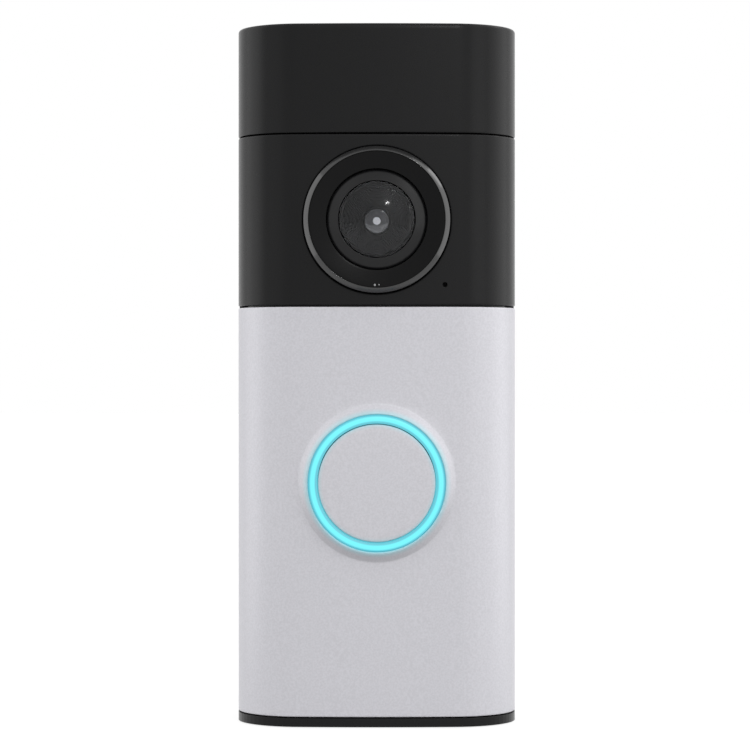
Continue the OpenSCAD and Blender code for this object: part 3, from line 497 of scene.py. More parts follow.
@dataclass(frozen=True)
class WovenMesh(Finish):
    """Fine woven mesh, thread by thread."""

    pitch: float = 0.35

    def relief(self, graph: Graph) -> Value:
        """Threads that cross each other."""
        warp, weft = (a.maths("SINE", a * (math.tau / self.pitch)) for a in graph.axes()[:2])
        return warp * weft * 0.5 + 0.5


HOUSING = Finish(
    "satin_black_plastic", (0.0020, 0.0020, 0.0024), 0.28,
    mottle=0.05, grain=0.0025, edge=0.25, ior=1.29,
)
BRACKET = Finish("bracket_plastic", (0.014, 0.014, 0.015), 0.5, grain=0.008, edge=0.25)
# The silver carries painted ring light, shade and glow beside the button.
SILVER = SatinSilver("satin_silver", (0.575, 0.570, 0.606), 0.42, metallic=0.22, grain=0.002)
CAMERA = Finish(
    "polished_black", (0.003, 0.003, 0.0034), 0.13, grain=0.0005, gloss_spread=0.03, ior=1.62
)
SHROUD = Finish(
    "shroud_black", (0.004, 0.004, 0.0045), 0.30, grain=0.001, gloss_spread=0.05, ior=1.36
)
WINDOW = Finish(
    "smoked_window", (0.0035, 0.0035, 0.0037), 0.25, grain=0.0, gloss_spread=0.04, ior=1.2
)
GLASS = Finish(
    "front_glass", (0.78, 0.79, 0.81), 0.08, grain=0.0, mottle=0.0, gloss_spread=0.0,
    ior=1.22, transmission=1.0, coat=0.12, coat_roughness=0.3,
)
INNER_GLASS = Finish(
    "coated_glass", (0.006, 0.007, 0.010), 0.05, coat=1.0, grain=0.0, gloss_spread=0.0
)
PUPIL = Finish("iris", (0.75, 0.75, 0.76), 0.2, coat=1.0, grain=0.0, gloss_spread=0.05)
PIP = Finish("sensor_pip", (0.30, 0.30, 0.31), 0.15, coat=1.0, grain=0.0, gloss_spread=0.05)
RING = LitRing("lit_ring", (0.02, 0.10, 0.12), 0.35, grain=0.001)
INNER = Finish("moulded_black", (0.016, 0.016, 0.017), 0.42, grain=0.004, edge=0.08)
BARREL = Finish(
    "barrel_black", (0.004, 0.004, 0.0045), 0.33, grain=0.0, gloss_spread=0.04, ior=1.12
)
GREEN_BOARD = CircuitBoard("green_circuit", (0.016, 0.11, 0.05), 0.35, grain=0.01)
BLACK_BOARD = CircuitBoard(
    "black_circuit", (0.015, 0.015, 0.018), 0.4, track=(0.03, 0.03, 0.034), grain=0.01
)
CHIP = Finish("chip_epoxy", (0.02, 0.02, 0.021), 0.55, grain=0.01, edge=0.06)
TIN = BrushedMetal("tinned_sheet", (0.62, 0.63, 0.65), 0.3)
SPRING = BrushedMetal("sprung_steel", (0.5, 0.51, 0.53), 0.28)
SCREW = BrushedMetal("screw_metal", (0.46, 0.47, 0.49), 0.33)
BRASS = BrushedMetal("brass", (0.66, 0.5, 0.22), 0.3)
MAGNET = BrushedMetal("magnet_metal", (0.58, 0.59, 0.61), 0.25, edge=0.1)
FOIL = Finish("battery_wrap", (0.10, 0.17, 0.30), 0.38, grain=0.02, grain_size=1.2, edge=0.3)
FLEX = Finish("amber_film", (0.50, 0.24, 0.04), 0.28, coat=0.4, grain=0.006)
RUBBER_BLACK = Finish("black_silicone", (0.024, 0.024, 0.025), 0.62, grain=0.01, edge=0.15)
RUBBER_GREY = Finish("grey_silicone", (0.16, 0.16, 0.165), 0.6, grain=0.01, edge=0.08)
LAMP = Finish("lamp_resin", (0.80, 0.79, 0.70), 0.25, coat=0.5, grain=0.001)
CLEAR = Finish("tinted_glass", (0.05, 0.09, 0.12), 0.08, coat=1.0, grain=0.0, gloss_spread=0.0)
ORANGE = Finish("orange_key", (0.66, 0.16, 0.02), 0.35, grain=0.004, edge=0.15)
SHEET = Finish("milky_sheet", (0.035, 0.035, 0.038), 0.4, grain=0.01, grain_size=0.8)
CLOTH = WovenMesh("woven_mesh", (0.012, 0.012, 0.013), 0.7, grain=0.05)

NODE_FINISHES: dict[Finish, str] = {
    BRACKET: "bracket_plate",
    SPRING: "bracket_clip",
    BRASS: "clip_rivets filter_coil terminal_screws",
    HOUSING: "rear_housing",
    RUBBER_BLACK: "housing_seal port_cover",
    SCREW: "housing_screws cover_screws board_screws camera_screws button_screws",
    GREEN_BOARD: "main_board sensor_board motion_board",
    TIN: "shield_cans filter_frame motion_sensors antenna switch_body usb_port",
    CHIP: "board_chips microphone",
    FOIL: "battery_cell",
    INNER: "battery_frame camera_retainer lens_holder speaker_basket"
    " switch_stem button_guide button_plunger",
    FLEX: "battery_lead flex_cables",
    BLACK_BOARD: "ir_board button_board",
    LAMP: "ir_leds ring_leds",
    CLEAR: "light_sensor filter_panes image_sensor",
    RUBBER_GREY: "mic_boot speaker_cone button_membrane",
    SHEET: "fresnel_sheet",
    CLOTH: "speaker_mesh",
    MAGNET: "speaker_magnet",
    ORANGE: "setup_key",
}


# ---------- Meshes ----------


def rounded(points: Sequence[Point], radius: float, steps: int = 4) -> list[Point]:
    """Rounds the corners of a closed profile.

    Args:
        points: The profile's corners.
        radius: The wanted corner radius in millimetres; short sides make it smaller.
        steps: Segments in each rounded corner.

    Returns:
        The profile with an arc in place of each corner away from the axis.
    """
    on_axis, straight, longest = 0.01, math.radians(176), 0.45
    made: list[Point] = []
    for i, corner in enumerate(points):
        here = Vector(corner)
        before = Vector(points[i - 1]) - here
        after = Vector(points[(i + 1) % len(points)]) - here
        turn = before.angle(after, math.pi)
        if corner[0] < on_axis or turn > straight:
            made.append(corner)
            continue
        reach = min(radius / math.tan(turn / 2), longest * before.length, longest * after.length)
        first = here + before.normalized() * reach
        last = here + after.normalized() * reach
        for t in spread(0, 1, steps):
            spot = first * (1 - t) ** 2 + here * 2 * t * (1 - t) + last * t * t
            made.append((spot.x, spot.y))
    return made


def numbered(count: int, width: int) -> list[list[int]]:
    """Positions of the points of a grid, row by row."""
    return [list(range(i * width, (i + 1) * width)) for i in range(count)]


def quads(rows: Faces) -> list[list[int]]:
    """The faces between rows of positions."""
    cells = [(a, b, j) for a, b in zip(rows, rows[1:]) for j in range(len(a) - 1)]
    return [[a[j], a[j + 1], b[j + 1], b[j]] for a, b, j in cells]


class Shape:
    """A mesh in the making, in millimetres, in the frame's axes."""

    def __init__(self) -> None:
        """Starts with nothing."""
        self.points: list[Spot] = []
        self.faces: list[tuple[int, ...]] = []

    def add(self, points: Sequence[Spot], faces: Faces) -> None:
        """Adds points and the faces between them, given as positions in the new points."""
        self.faces += [tuple(len(self.points) + i for i in face) for face in faces]
        self.points += points

    def turned(
        self, profile: Sequence[Point], z: float, x: float = 0.0, steps: int = 128
    ) -> None:
        """Adds a part turned about the depth axis.

        Args:
            profile: A closed profile as [radius, depth from the wall].
            z: Height of the axis.
            x: Sideways place of the axis.
            steps: Segments round the axis.
        """
        points: list[Spot] = []
        rings: list[list[int]] = []
        for radius, depth in profile:
            if radius < 1e-6:
                rings.append([len(points)] * steps)
                points.append((x, -depth, z))
                continue
            rings.append(list(range(len(points), len(points) + steps)))
            for k in range(steps):
                angle = math.tau * k / steps
                points.append((x + radius * math.cos(angle), -depth, z + radius * math.sin(angle)))
        faces = []
        for first, last in zip(rings, rings[1:] + rings[:1]):
            for k in range(steps):
                n = (k + 1) % steps
                face = list(dict.fromkeys([first[k], first[n], last[n], last[k]]))
                if len(face) > 2:
                    faces.append(face)
        self.add(points, faces)

    def tube(
        self, x: float, z: float, radii: Point, ends: Point, edge: float = 0.0, steps: int = 2
    ) -> None:
        """Adds a rod or a tube along the depth axis.

        Args:
            x: Sideways place.
            z: Height.
            radii: Radius of the bore, or 0, and outer radius.
            ends: Depths of its two ends.
            edge: Radius of its softened edges; 0 leaves them.
            steps: Segments in each softened edge.
        """
        (bore, outer), (back, front) = radii, ends
        profile = [(bore, back), (outer, back), (outer, front), (bore, front)]
        self.turned(rounded(profile, edge, steps) if edge else profile, z, x, 32)

    def double(self, outer: Sequence[Spot], inner: Sequence[Spot], faces: Faces) -> None:
        """Adds a sheet with thickness: two layers and the rims between them.

        Args:
            outer: Points of the outer layer.
            inner: Points of the inner layer, in the same order.
            faces: Faces of a layer as positions in its points.
        """
        used = sorted({i for face in faces for i in face})
        place = {old: new for new, old in enumerate(used)}
        count = len(used)
        front = [[place[i] for i in face] for face in faces]
        sides = Counter(frozenset(s) for f in front for s in zip(f, f[1:] + f[:1]))
        back = [[count + i for i in reversed(face)] for face in front]
        rims = [
            [b, a, count + a, count + b]
            for f in front
            for a, b in zip(f, f[1:] + f[:1])
            if sides[frozenset((a, b))] == 1
        ]
        self.add([outer[i] for i in used] + [inner[i] for i in used], front + back + rims)

    def mesh(self, name: str, sharp: float = 32.0) -> bpy.types.Mesh:
        """Makes the Blender mesh, in metres, smooth but for its sharp edges.

        Args:
            name: The mesh's name.
            sharp: Edges that turn by more than this many degrees stay sharp.

        Returns:
            The mesh.
        """
        made = bpy.data.meshes.new(name)
        made.from_pydata([tuple(MM * c for c in point) for point in self.points], [], self.faces)
        work = bmesh.new()
        work.from_mesh(made)
        bmesh.ops.remove_doubles(work, verts=work.verts[:], dist=1e-8)
        bmesh.ops.recalc_face_normals(work, faces=work.faces[:])
        work.to_mesh(made)
        work.free()
        soften(made, sharp)
        return made


def soften(mesh: bpy.types.Mesh, sharp: float = 32.0) -> None:
    """Shades a mesh smooth, with sharp edges where it turns by more than sharp degrees."""
    mesh.shade_smooth()
    mesh.set_sharp_from_angle(angle=math.radians(sharp))


def make_piece(
    name: str,
    source: Union[Shape, bpy.types.Mesh],
    finish: Finish,
    body: Body = Body.UNIT,
    replaced: str = "",
) -> None:
    """Makes a piece of the dressed model.

    Args:
        name: The piece's name.
        source: Its shape or its finished mesh.
        finish: Its finish.
        body: The body that it rides on.
        replaced: The CAD node that it stands for, if any.
    """
    mesh = source.mesh(name) if isinstance(source, Shape) else source
    piece = add_object(name, mesh)
    mesh.materials.append(finish.material())
    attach(piece, body.value)
    if replaced:
        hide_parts(replaced)
    log.info("%s: %d faces, rides on %s", name, len(mesh.polygons), body.value)


def bored(mesh: bpy.types.Mesh, bores: Sequence[Spot]) -> bpy.types.Mesh:
    """Cuts round holes along the depth axis through a mesh.

    Args:
        mesh: The mesh to cut.
        bores: Each hole's x, z and radius in millimetres.

    Returns:
        The cut mesh.
    """
    cutter = Shape()
    for x, z, radius in bores:
        cutter.tube(x, z, (0, radius), (1, 60))
    pair = [
        add_object(f"work_{i}", data) for i, data in enumerate((mesh, cutter.mesh("bores")))
    ]
    cut = pair[0].modifiers.new("bores", "BOOLEAN")
    cut.object, cut.operation, cut.solver = pair[1], "DIFFERENCE", "EXACT"
    bpy.context.view_layer.update()
    depsgraph = bpy.context.evaluated_depsgraph_get()
    made = bpy.data.meshes.new_from_object(pair[0].evaluated_get(depsgraph))
    for item in pair:
        bpy.data.objects.remove(item)
    made.materials.clear()
    soften(made)
    return made


# ---------- The wrapped front ----------


@dataclass(frozen=True)
class FrontOutline:
    """The front seen from above: a gentle bow that turns into the two sides."""

    half_width: float
    front: float
    back: float
    corner: float = 12.0
    crown: float = 220.0
    side_step: float = 3.0

    @property
    def corner_x(self) -> float:
        """Sideways place of a corner's centre."""
        return self.half_width - self.corner

    @property
    def corner_depth(self) -> float:
        """Depth of a corner's centre."""
        reach = math.sqrt((self.crown - self.corner) ** 2 - self.corner_x**2)
        return self.front - self.crown + reach

    @property
    def crown_turn(self) -> float:
        """Angle at which the bow turns into a corner."""
        return math.asin(self.corner_x / (self.crown - self.corner))

    def across(self, steps: int) -> list[float]:
        """Sideways places between the two corners' centres."""
        return spread(-self.corner_x, self.corner_x, steps)

    def pair(self, inset: float) -> list[float]:
        """Sideways places on the left and on the right, at this distance from the side."""
        return [side * (self.half_width - inset) for side in SIDES]

    def at_turn(self, turn: float) -> tuple[Vector, Vector]:
        """Finds a point on the outline and its outward normal.

        Args:
            turn: The normal's angle to the right of straight ahead, in radians.

        Returns:
            The point and the normal, as (x, depth).
        """
        normal = Vector((math.sin(turn), math.cos(turn)))
        if abs(turn) <= self.crown_turn:
            return normal * self.crown + Vector((0, self.front - self.crown)), normal
        centre = Vector((math.copysign(self.corner_x, turn), self.corner_depth))
        return centre + normal * self.corner, normal

    def turn_at(self, x: float) -> float:
        """Finds the normal's turn at a place on the front.

        Args:
            x: The sideways place.

        Returns:
            The turn in radians.
        """
        turn = math.asin(x / self.crown)
        if abs(turn) <= self.crown_turn:
            return turn
        return math.copysign(math.asin((abs(x) - self.corner_x) / self.corner), x)

    def depth(self, x: float, inset: float) -> float:
        """Finds the depth of the front moved inwards.

        Args:
            x: The sideways place.
            inset: How far the front is moved inwards.

        Returns:
            The depth.
        """
        if abs(x) <= (self.crown - inset) * math.sin(self.crown_turn):
            return self.front - self.crown + math.sqrt((self.crown - inset) ** 2 - x * x)
        reach = (self.corner - inset) ** 2 - (abs(x) - self.corner_x) ** 2
        return self.corner_depth + math.sqrt(max(reach, 0.0))

    def columns(self, middle: Sequence[float]) -> list[tuple[Vector, Vector]]:
        """Finds points and normals round the whole outline.

        Args:
            middle: Sideways places across the middle, in order.

        Returns:
            Points and normals from the left rear edge to the right rear edge.
        """
        last = self.turn_at(middle[-1])
        turns = [self.turn_at(x) for x in middle]
        mirrored_from = last + 1e-9
        if last < self.crown_turn:
            turns.append(self.crown_turn)
            last = self.crown_turn
        steps = math.ceil(math.degrees(QUARTER - last) / self.side_step)
        turns += spread(last, QUARTER, steps)[1:]
        mirrored = [-turn for turn in reversed(turns) if turn > mirrored_from]
        made = [self.at_turn(turn) for turn in mirrored + turns]
        for side, end in zip(SIDES, (0, len(made) + 1)):
            made.insert(end, (Vector((side * self.half_width, self.back)), Vector((side, 0))))
        return made


def layer(columns: Sequence[tuple[Vector, Vector]], rows: Sequence[Point]) -> list[Spot]:
    """Places the points of a sheet that follows an outline.

    Args:
        columns: Points and normals round the outline.
        rows: Each row's height and how far it is moved inwards.

    Returns:
        The points, row by row.
    """
    made = []
    for height, inset in rows:
        for point, normal in columns:
            spot = point - normal * inset
            made.append((spot.x, -spot.y, height))
    return made


@dataclass(frozen=True)
class RoundOpening:
    """A round opening in a wrapped panel, with the relief round it."""

    z: float
    radii: Sequence[float]
    relief: Callable[[float], float]
    half: float
    side_cells: int = 28

    def offsets(self) -> list[float]:
        """Places along a side of the square round the opening."""
        eighth = QUARTER / 2
        return [self.half * math.tan(a) for a in spread(-eighth, eighth, self.side_cells)]


@dataclass(frozen=True)
class WrappedPanel:
    """A sheet that wraps round the front and both sides, with softened ends."""

    outline: FrontOutline
    bottom: float
    top: float
    thickness: float
    edge: float
    inset: float = 0.0
    opening: Optional[RoundOpening] = None

    def ends(self) -> tuple[list[Point], list[Point]]:
        """Rows of the rounded lower and upper ends and just past them, as (height, inset)."""
        arc = quarter((self.edge, self.edge), (-self.edge, -self.edge), 4) + [(2 * self.edge, 0.0)]
        return [(self.bottom + x, y) for x, y in arc], [(self.top - x, y) for x, y in arc[::-1]]

    def rows(self) -> list[Point]:
        """Makes all rows from the lower to the upper end.

        Returns:
            The rows as (height, inset).
        """
        lower, upper = self.ends()
        middle = spread(lower[-1][0], upper[0][0], 6)[1:-1]
        if self.opening:
            middle = [self.opening.z + offset for offset in self.opening.offsets()]
        return lower + [(height, 0.0) for height in middle] + upper

    def add_to(self, shape: Shape) -> None:
        """Adds the panel's two layers and its rims.

        Args:
            shape: The mesh that the panel goes into.
        """
        opening = self.opening
        middle = opening.offsets() if opening else self.outline.across(10)
        columns = self.outline.columns(middle)
        rows = self.rows()
        width, cells = len(columns), len(middle) - 1
        grid = numbered(len(rows), width)
        outer = layer(columns, [(height, self.inset + inset) for height, inset in rows])
        inner = layer(columns, [(height, self.inset + self.thickness) for height, _ in rows])
        faces = quads(grid)
        if opening:
            foot, left = len(self.ends()[0]), (width - cells - 1) // 2
            head, right = foot + cells, left + cells
            inside = {i for row in grid[foot:head] for i in row[left:right]}
            faces = [face for face in faces if face[0] not in inside]
            border = [grid[foot + k][right] for k in range(cells)]
            border += [grid[head][right - k] for k in range(cells)]
            border += [grid[head - k][left] for k in range(cells)]
            border += [grid[foot][left + k] for k in range(cells)]
            self.add_rings(opening, border, outer, inner, faces)
        shape.double(outer, inner, faces)

    def add_rings(
        self, opening: RoundOpening, border: list[int], outer: list, inner: list, faces: list
    ) -> None:
        """Adds the rings between the opening and the square of cells round it.

        Args:
            opening: The opening.
            border: Positions of the points on the square's border, in turn.
            outer: Points of the outer layer, which grow.
            inner: Points of the inner layer, which grow.
            faces: Faces, which grow.
        """
        count = len(border)
        angles = [math.tau * k / count - QUARTER / 2 for k in range(count)]
        levels = [(radius, 0.0) for radius in opening.radii]
        levels += [(opening.radii[-1], share) for share in (0.25, 0.6)]
        rings: list[list[int]] = []
        for radius, share in levels:
            rings.append(list(range(len(outer), len(outer) + count)))
            for angle, corner in zip(angles, [outer[i] for i in border]):
                x = radius * math.cos(angle) * (1 - share) + corner[0] * share
                z = radius * math.sin(angle) * (1 - share) + (corner[2] - opening.z) * share
                rise = opening.relief(math.hypot(x, z))
                outer.append((x, -self.outline.depth(x, self.inset) - rise, opening.z + z))
                rear = self.outline.depth(x, self.inset + self.thickness)
                inner.append((x, -rear, opening.z + z))
        rings.append(border)
        for first, second in zip(rings, rings[1:]):
            for k in range(count):
                n = (k + 1) % count
                faces.append([first[k], second[k], second[n], first[n]])


# ---------- Housing ----------


@dataclass
class Housing:
    """The black top cover, the camera panel and the frame behind the faceplate."""

    outline: FrontOutline
    shell: float = 2.0
    roof: float = 3.4
    top_edge: float = 0.55
    top_slope: float = 0.3
    seam: float = 0.2
    seam_edge: float = 0.22
    groove: float = 0.34
    lens_gap: float = 0.1
    lens_edge: float = 0.3
    lens_half: float = 14.9
    mic: Spot = (12.3, -11.7, 0.45)
    frame_inset: float = 1.8
    frame_wall: float = 1.6
    frame_edge: float = 0.2
    frame_overlap: float = 1.0
    ring_gap: float = 0.15
    ring_half: float = 14.4
    peg_inset: float = 10.5
    peg_hole: float = 1.3
    peg_places: Point = (6.0, 7.95)
    boss_radii: Point = (1.0, 2.5)
    boss_edge: float = 0.15
    boss_sink: float = 0.3
    screw_inset: float = 7.0
    cover_screw_inset: float = 8.5
    cover_boss_sink: float = 0.5
    screw_places: Spot = (7.85, 5.5, 5.7)

    def build(self) -> None:
        """Builds the top cover and the front housing."""
        self.build_cover()
        self.build_front()

    def boss(self, shape: Shape, x: float, z: float, front: float) -> None:
        """Adds a bored boss for a screw, from the housing's back to this depth."""
        shape.tube(x, z, self.boss_radii, (self.outline.back, front), self.boss_edge)

    def build_cover(self) -> None:
        """Builds the top cover with its roof."""
        bottom, top = heights("top_cover")
        columns = self.outline.columns(self.outline.across(12))
        lower, _ = WrappedPanel(self.outline, bottom, top, self.shell, self.seam_edge).ends()
        _, upper = WrappedPanel(self.outline, bottom, top, self.shell, self.top_edge).ends()
        upper.append((top, self.top_edge + self.top_slope))
        middle = [(height, 0.0) for height in spread(lower[-1][0], upper[0][0], 4)[1:-1]]
        rows = lower + middle + upper
        inner_rows = [(bottom, self.shell), (top - self.roof, self.shell)]
        grid = numbered(len(rows) + 2, len(columns))
        outer, inner = grid[:-2], grid[-2:]
        rear = [row[0] for row in outer] + [row[-1] for row in reversed(outer)]
        rear += [inner[0][-1], inner[1][-1], inner[1][0], inner[0][0]]
        faces = quads(outer) + quads(inner) + [outer[-1], inner[-1]]
        faces += quads([outer[0], inner[0]]) + [rear]
        shape = Shape()
        shape.add(layer(columns, rows + inner_rows), faces)
        front = self.outline.front - self.shell - self.cover_boss_sink
        for x in self.outline.pair(self.cover_screw_inset):
            self.boss(shape, x, middle_z("cover_screws"), front)
        make_piece("top_cover_shell", shape, HOUSING, replaced="top_cover")

    def build_front(self) -> None:
        """Builds the camera panel, the frame under the faceplate and their bosses."""
        top = low("top_cover").z - self.seam
        bottom = high("faceplate").z + self.groove
        hole = high("camera_bezel").x - BEZEL_FLANGE + self.lens_gap
        edge = self.lens_edge
        lens = RoundOpening(
            CAMERA_Z,
            [hole + edge * (1 - math.cos(a)) for a in spread(0, QUARTER, 5)] + [hole + 0.5],
            lambda r: math.sqrt(edge**2 - min(max(hole + edge - r, 0.0), edge) ** 2) - edge,
            self.lens_half,
        )
        shape = Shape()
        panel = WrappedPanel(self.outline, bottom, top, self.shell, self.seam_edge, opening=lens)
        panel.add_to(shape)
        mic_x, mic_drop, mic_radius = self.mic
        drilled = bored(shape.mesh("camera_panel"), [(mic_x, CAMERA_Z + mic_drop, mic_radius)])
        make_piece("camera_panel", drilled, HOUSING, replaced="front_housing")
        self.build_frame(bottom)

    def build_frame(self, top: float) -> None:
        """Builds the frame that the faceplate clips on, and the bosses of the screws.

        Args:
            top: Height of the camera panel's lower edge.
        """
        foot = low("front_housing").z
        hole = high("light_ring").x - RING_FLANGE + self.ring_gap
        ring = RoundOpening(
            BUTTON_Z, (hole, hole + 0.3, hole + 1.2), lambda radius: 0.0, self.ring_half
        )
        shape = Shape()
        WrappedPanel(
            self.outline, foot, top + self.frame_overlap, self.frame_wall, self.frame_edge,
            self.frame_inset, ring,
        ).add_to(shape)
        from_top, from_foot = self.peg_places
        pegs = [
            (x, z, self.peg_hole)
            for x in self.outline.pair(self.peg_inset)
            for z in (top - from_top, foot + from_foot)
        ]
        mesh = bored(shape.mesh("faceplate_frame"), pegs)
        make_piece("faceplate_frame", mesh, HOUSING)
        bosses = Shape()
        lower, middle, upper = self.screw_places
        reach = self.outline.half_width - self.screw_inset + self.boss_radii[1]
        for z in (foot + lower, top - middle, low("top_cover").z - upper):
            inset = self.shell if z > top else self.frame_inset + self.frame_wall
            front = self.outline.depth(reach, inset) + self.boss_sink
            for x in self.outline.pair(self.screw_inset):
                self.boss(bosses, x, z, front)
        make_piece("screw_bosses", bosses, HOUSING)


# ---------- Faceplate ----------


@dataclass
class Faceplate:
    """The silver faceplate with the raised collar round its button."""

    outline: FrontOutline
    wall: float = 1.6
    edge: float = 0.2
    side_gap: float = 0.2
    opening: float = 12.4
    crest: float = 0.12
    collar_foot: float = 14.4
    collar_top: float = 12.62
    collar_height: float = 1.35
    collar_soft: float = 0.14
    collar_half: float = 15.2
    peg_radius: float = 1.2
    peg_length: float = 3.0
    peg_inset: float = 10.5
    peg_places: Point = (5.8, 7.8)

    def relief(self, radius: float) -> float:
        """Finds the height of the collar.

        Args:
            radius: Distance from the button's axis.

        Returns:
            The height over the panel.
        """
        soft = self.collar_soft
        t = (self.collar_foot - radius) / (self.collar_foot - self.collar_top)
        lift = t - soft / 2 if soft < t < 1 - soft else 0.0
        if t <= soft:
            lift = max(t, 0.0) ** 2 / (2 * soft)
        elif t >= 1 - soft:
            lift = 1 - soft - max(1 - t, 0.0) ** 2 / (2 * soft)
        fall = max(self.opening + self.crest - radius, 0.0)
        return self.collar_height * lift / (1 - soft) - fall

    def build(self) -> None:
        """Builds the faceplate and its pegs."""
        bottom, top = heights("faceplate")
        crest = [self.opening + step for step in (0, 0.05, self.crest, 0.22)]
        radii = crest + spread(self.collar_top, self.collar_foot, 14)
        collar = RoundOpening(BUTTON_Z, radii, self.relief, self.collar_half)
        back = self.outline.back + self.side_gap
        outline = FrontOutline(self.outline.half_width, self.outline.front, back)
        shape = Shape()
        WrappedPanel(outline, bottom, top, self.wall, self.edge, opening=collar).add_to(shape)
        base = outline.depth(outline.half_width - self.peg_inset, self.wall) + 0.1
        tip = outline.front - self.wall - self.peg_length
        from_top, from_bottom = self.peg_places
        for z in (top - from_top, bottom + from_bottom):
            for x in outline.pair(self.peg_inset):
                shape.tube(x, z, (0, self.peg_radius), (base, tip), 0.3, 3)
        make_piece("silver_faceplate", shape, SILVER, Body.FACEPLATE, "faceplate")


# ---------- Camera ----------


@dataclass
class Camera:
    """The camera: bezel, dark window, shroud, glass, barrel and iris."""

    flange_depth: float = 0.9
    bezel_bevel: float = 0.8
    bezel_drop: float = 0.86
    lip: float = 0.08
    gap: float = 0.05
    ledge: float = 0.6
    ledge_front: float = 0.5
    ledge_back: float = 1.5
    window_inner: float = 9.15
    window_flange: float = 0.85
    window_fall: float = 0.4
    window_curve: float = 1.15
    window_edge: float = 0.25
    pips: tuple[Spot, ...] = ((-0.35, 11.85, 0.2), (0.4, 11.8, 0.12))
    stub: float = 0.3
    shroud_top: float = 7.05
    shroud_rise: float = 1.05
    shroud_curve: float = 1.1
    shroud_gap: float = 0.12
    lens_radius: float = 6.85
    lens_edge: float = 0.5
    lens_wall: float = 0.6
    dome: float = 1.3
    bore: float = 2.3
    bore_land: float = 0.25
    bore_rise: float = 0.35
    barrel_outer: float = 5.95
    barrel_flange: float = 4.0
    barrel_fall: float = 4.5
    baffles: int = 15
    baffle_shape: Point = (0.6, 0.15)
    inner_rise: float = 0.24
    inner_depth: float = 1.3
    rear_depth: float = 1.0
    iris_radius: float = 0.85
    iris_sink: float = 0.12
    iris_rise: float = 0.18

    @property
    def head(self) -> float:
        """Depth of the front glass's back."""
        return depths("front_element")[0]

    def build(self) -> None:
        """Builds the camera's pieces from the outside in."""
        self.build_bezel()
        self.build_window()
        self.build_shroud()
        self.build_glass()
        self.build_barrel()
        self.build_iris()

    def turn(
        self, name: str, profile: Sequence[Point], finish: Finish, slot: Slot,
        replaced: str, edge: float = 0.0, sharp: float = 32.0,
    ) -> None:
        """Makes a turned piece of the camera.

        Args:
            name: The piece's name.
            profile: Its closed profile as [radius, depth].
            finish: Its finish.
            slot: The record's slot; not used.
            replaced: The CAD node that it stands for.
            edge: Radius of its softened edges; 0 leaves them.
            sharp: Edges that turn by more than this many degrees stay sharp.
        """
        shape = Shape()
        shape.turned(rounded(profile, edge) if edge else profile, CAMERA_Z, steps=160)
        make_piece(name, shape.mesh(name, sharp), finish, replaced=replaced)

    def build_bezel(self) -> None:
        """Builds the bezel with its slanted edge."""
        back, front = depths("camera_bezel")
        flange = high("camera_bezel").x
        outer = flange - BEZEL_FLANGE
        crest = outer - self.bezel_bevel
        lip = crest - self.lip
        ledge = high("ir_window").x + self.gap
        shelf = back + self.flange_depth
        edge, step = front - self.ledge_front, front - self.ledge_back
        profile = [
            (ledge - self.ledge, back), (flange, back), (flange, shelf), (outer, shelf),
            (outer, front - self.bezel_drop), (crest, front), (lip, front),
            (lip, edge), (ledge, edge), (ledge, step), (ledge - self.ledge, step),
        ]
        self.turn("camera_bezel_ring", profile, CAMERA, Slot.CAMERA, "camera_bezel", 0.06)

    def build_window(self) -> None:
        """Builds the dark window ring and the two pips in it."""
        back, front = depths("ir_window")
        rim = high("ir_window").x
        neck = rim - self.ledge
        lip = high("camera_bezel").x - BEZEL_FLANGE - self.bezel_bevel - self.lip - self.gap
        step, edge = back + self.window_flange, front - self.window_edge
        profile = [(self.window_inner, back), (neck, back), (neck, step), (rim, step)]
        profile += [(rim, edge), (lip, edge)]
        profile += [
            (lip + (self.window_inner - lip) * t, front - self.window_fall * t**self.window_curve)
            for t in spread(0, 1, 10)
        ]
        self.turn("dark_window_ring", profile, WINDOW, Slot.WINDOW, "ir_window", 0.04)
        shape = Shape()
        for x, drop, radius in self.pips:
            depth = front - self.window_fall * 0.1
            dome = quarter((0, depth), (radius, radius * 0.5), 5)
            foot = [(0, depth - self.stub), (radius, depth - self.stub)]
            shape.turned(foot + dome, CAMERA_Z - drop, x, 20)
        make_piece("window_pips", shape, PIP)

    def build_shroud(self) -> None:
        """Builds the slanted ring round the glass."""
        back, front = depths("lens_shroud")
        outer = high("lens_shroud").x
        inner = self.lens_radius + self.shroud_gap
        profile = [(inner, back), (outer, back)]
        for t in spread(0, 1, 10):
            fall = self.shroud_rise * (1 - t) ** self.shroud_curve
            profile.append((outer + (self.shroud_top - outer) * t, front - fall))
        profile.append((inner, front))
        self.turn("lens_shroud_ring", profile, SHROUD, Slot.CAMERA, "lens_shroud", 0.05)

    def ball(self, radius: float, rise: float, seat: float) -> list[Point]:
        """Draws a dome that is part of a ball.

        Args:
            radius: The dome's radius at its foot.
            rise: Its height.
            seat: Depth of its foot.

        Returns:
            Points from the foot to the axis.
        """
        ball = (radius**2 + rise**2) / (2 * rise)
        reach = [radius * math.cos(a) for a in spread(0, QUARTER, 20)]
        return [(x, seat + math.sqrt(ball**2 - x**2) - ball + rise) for x in reach]

    def build_glass(self) -> None:
        """Builds the domed front glass."""
        edge = self.head + self.lens_edge
        profile = [(self.lens_radius, self.head), (self.lens_radius, edge)]
        profile += self.ball(self.lens_radius, self.dome, edge)[1:]
        profile += self.ball(self.lens_radius - self.lens_wall, self.dome / 2, self.head)[::-1]
        self.turn("front_glass", profile, GLASS, Slot.GLASS, "front_element")

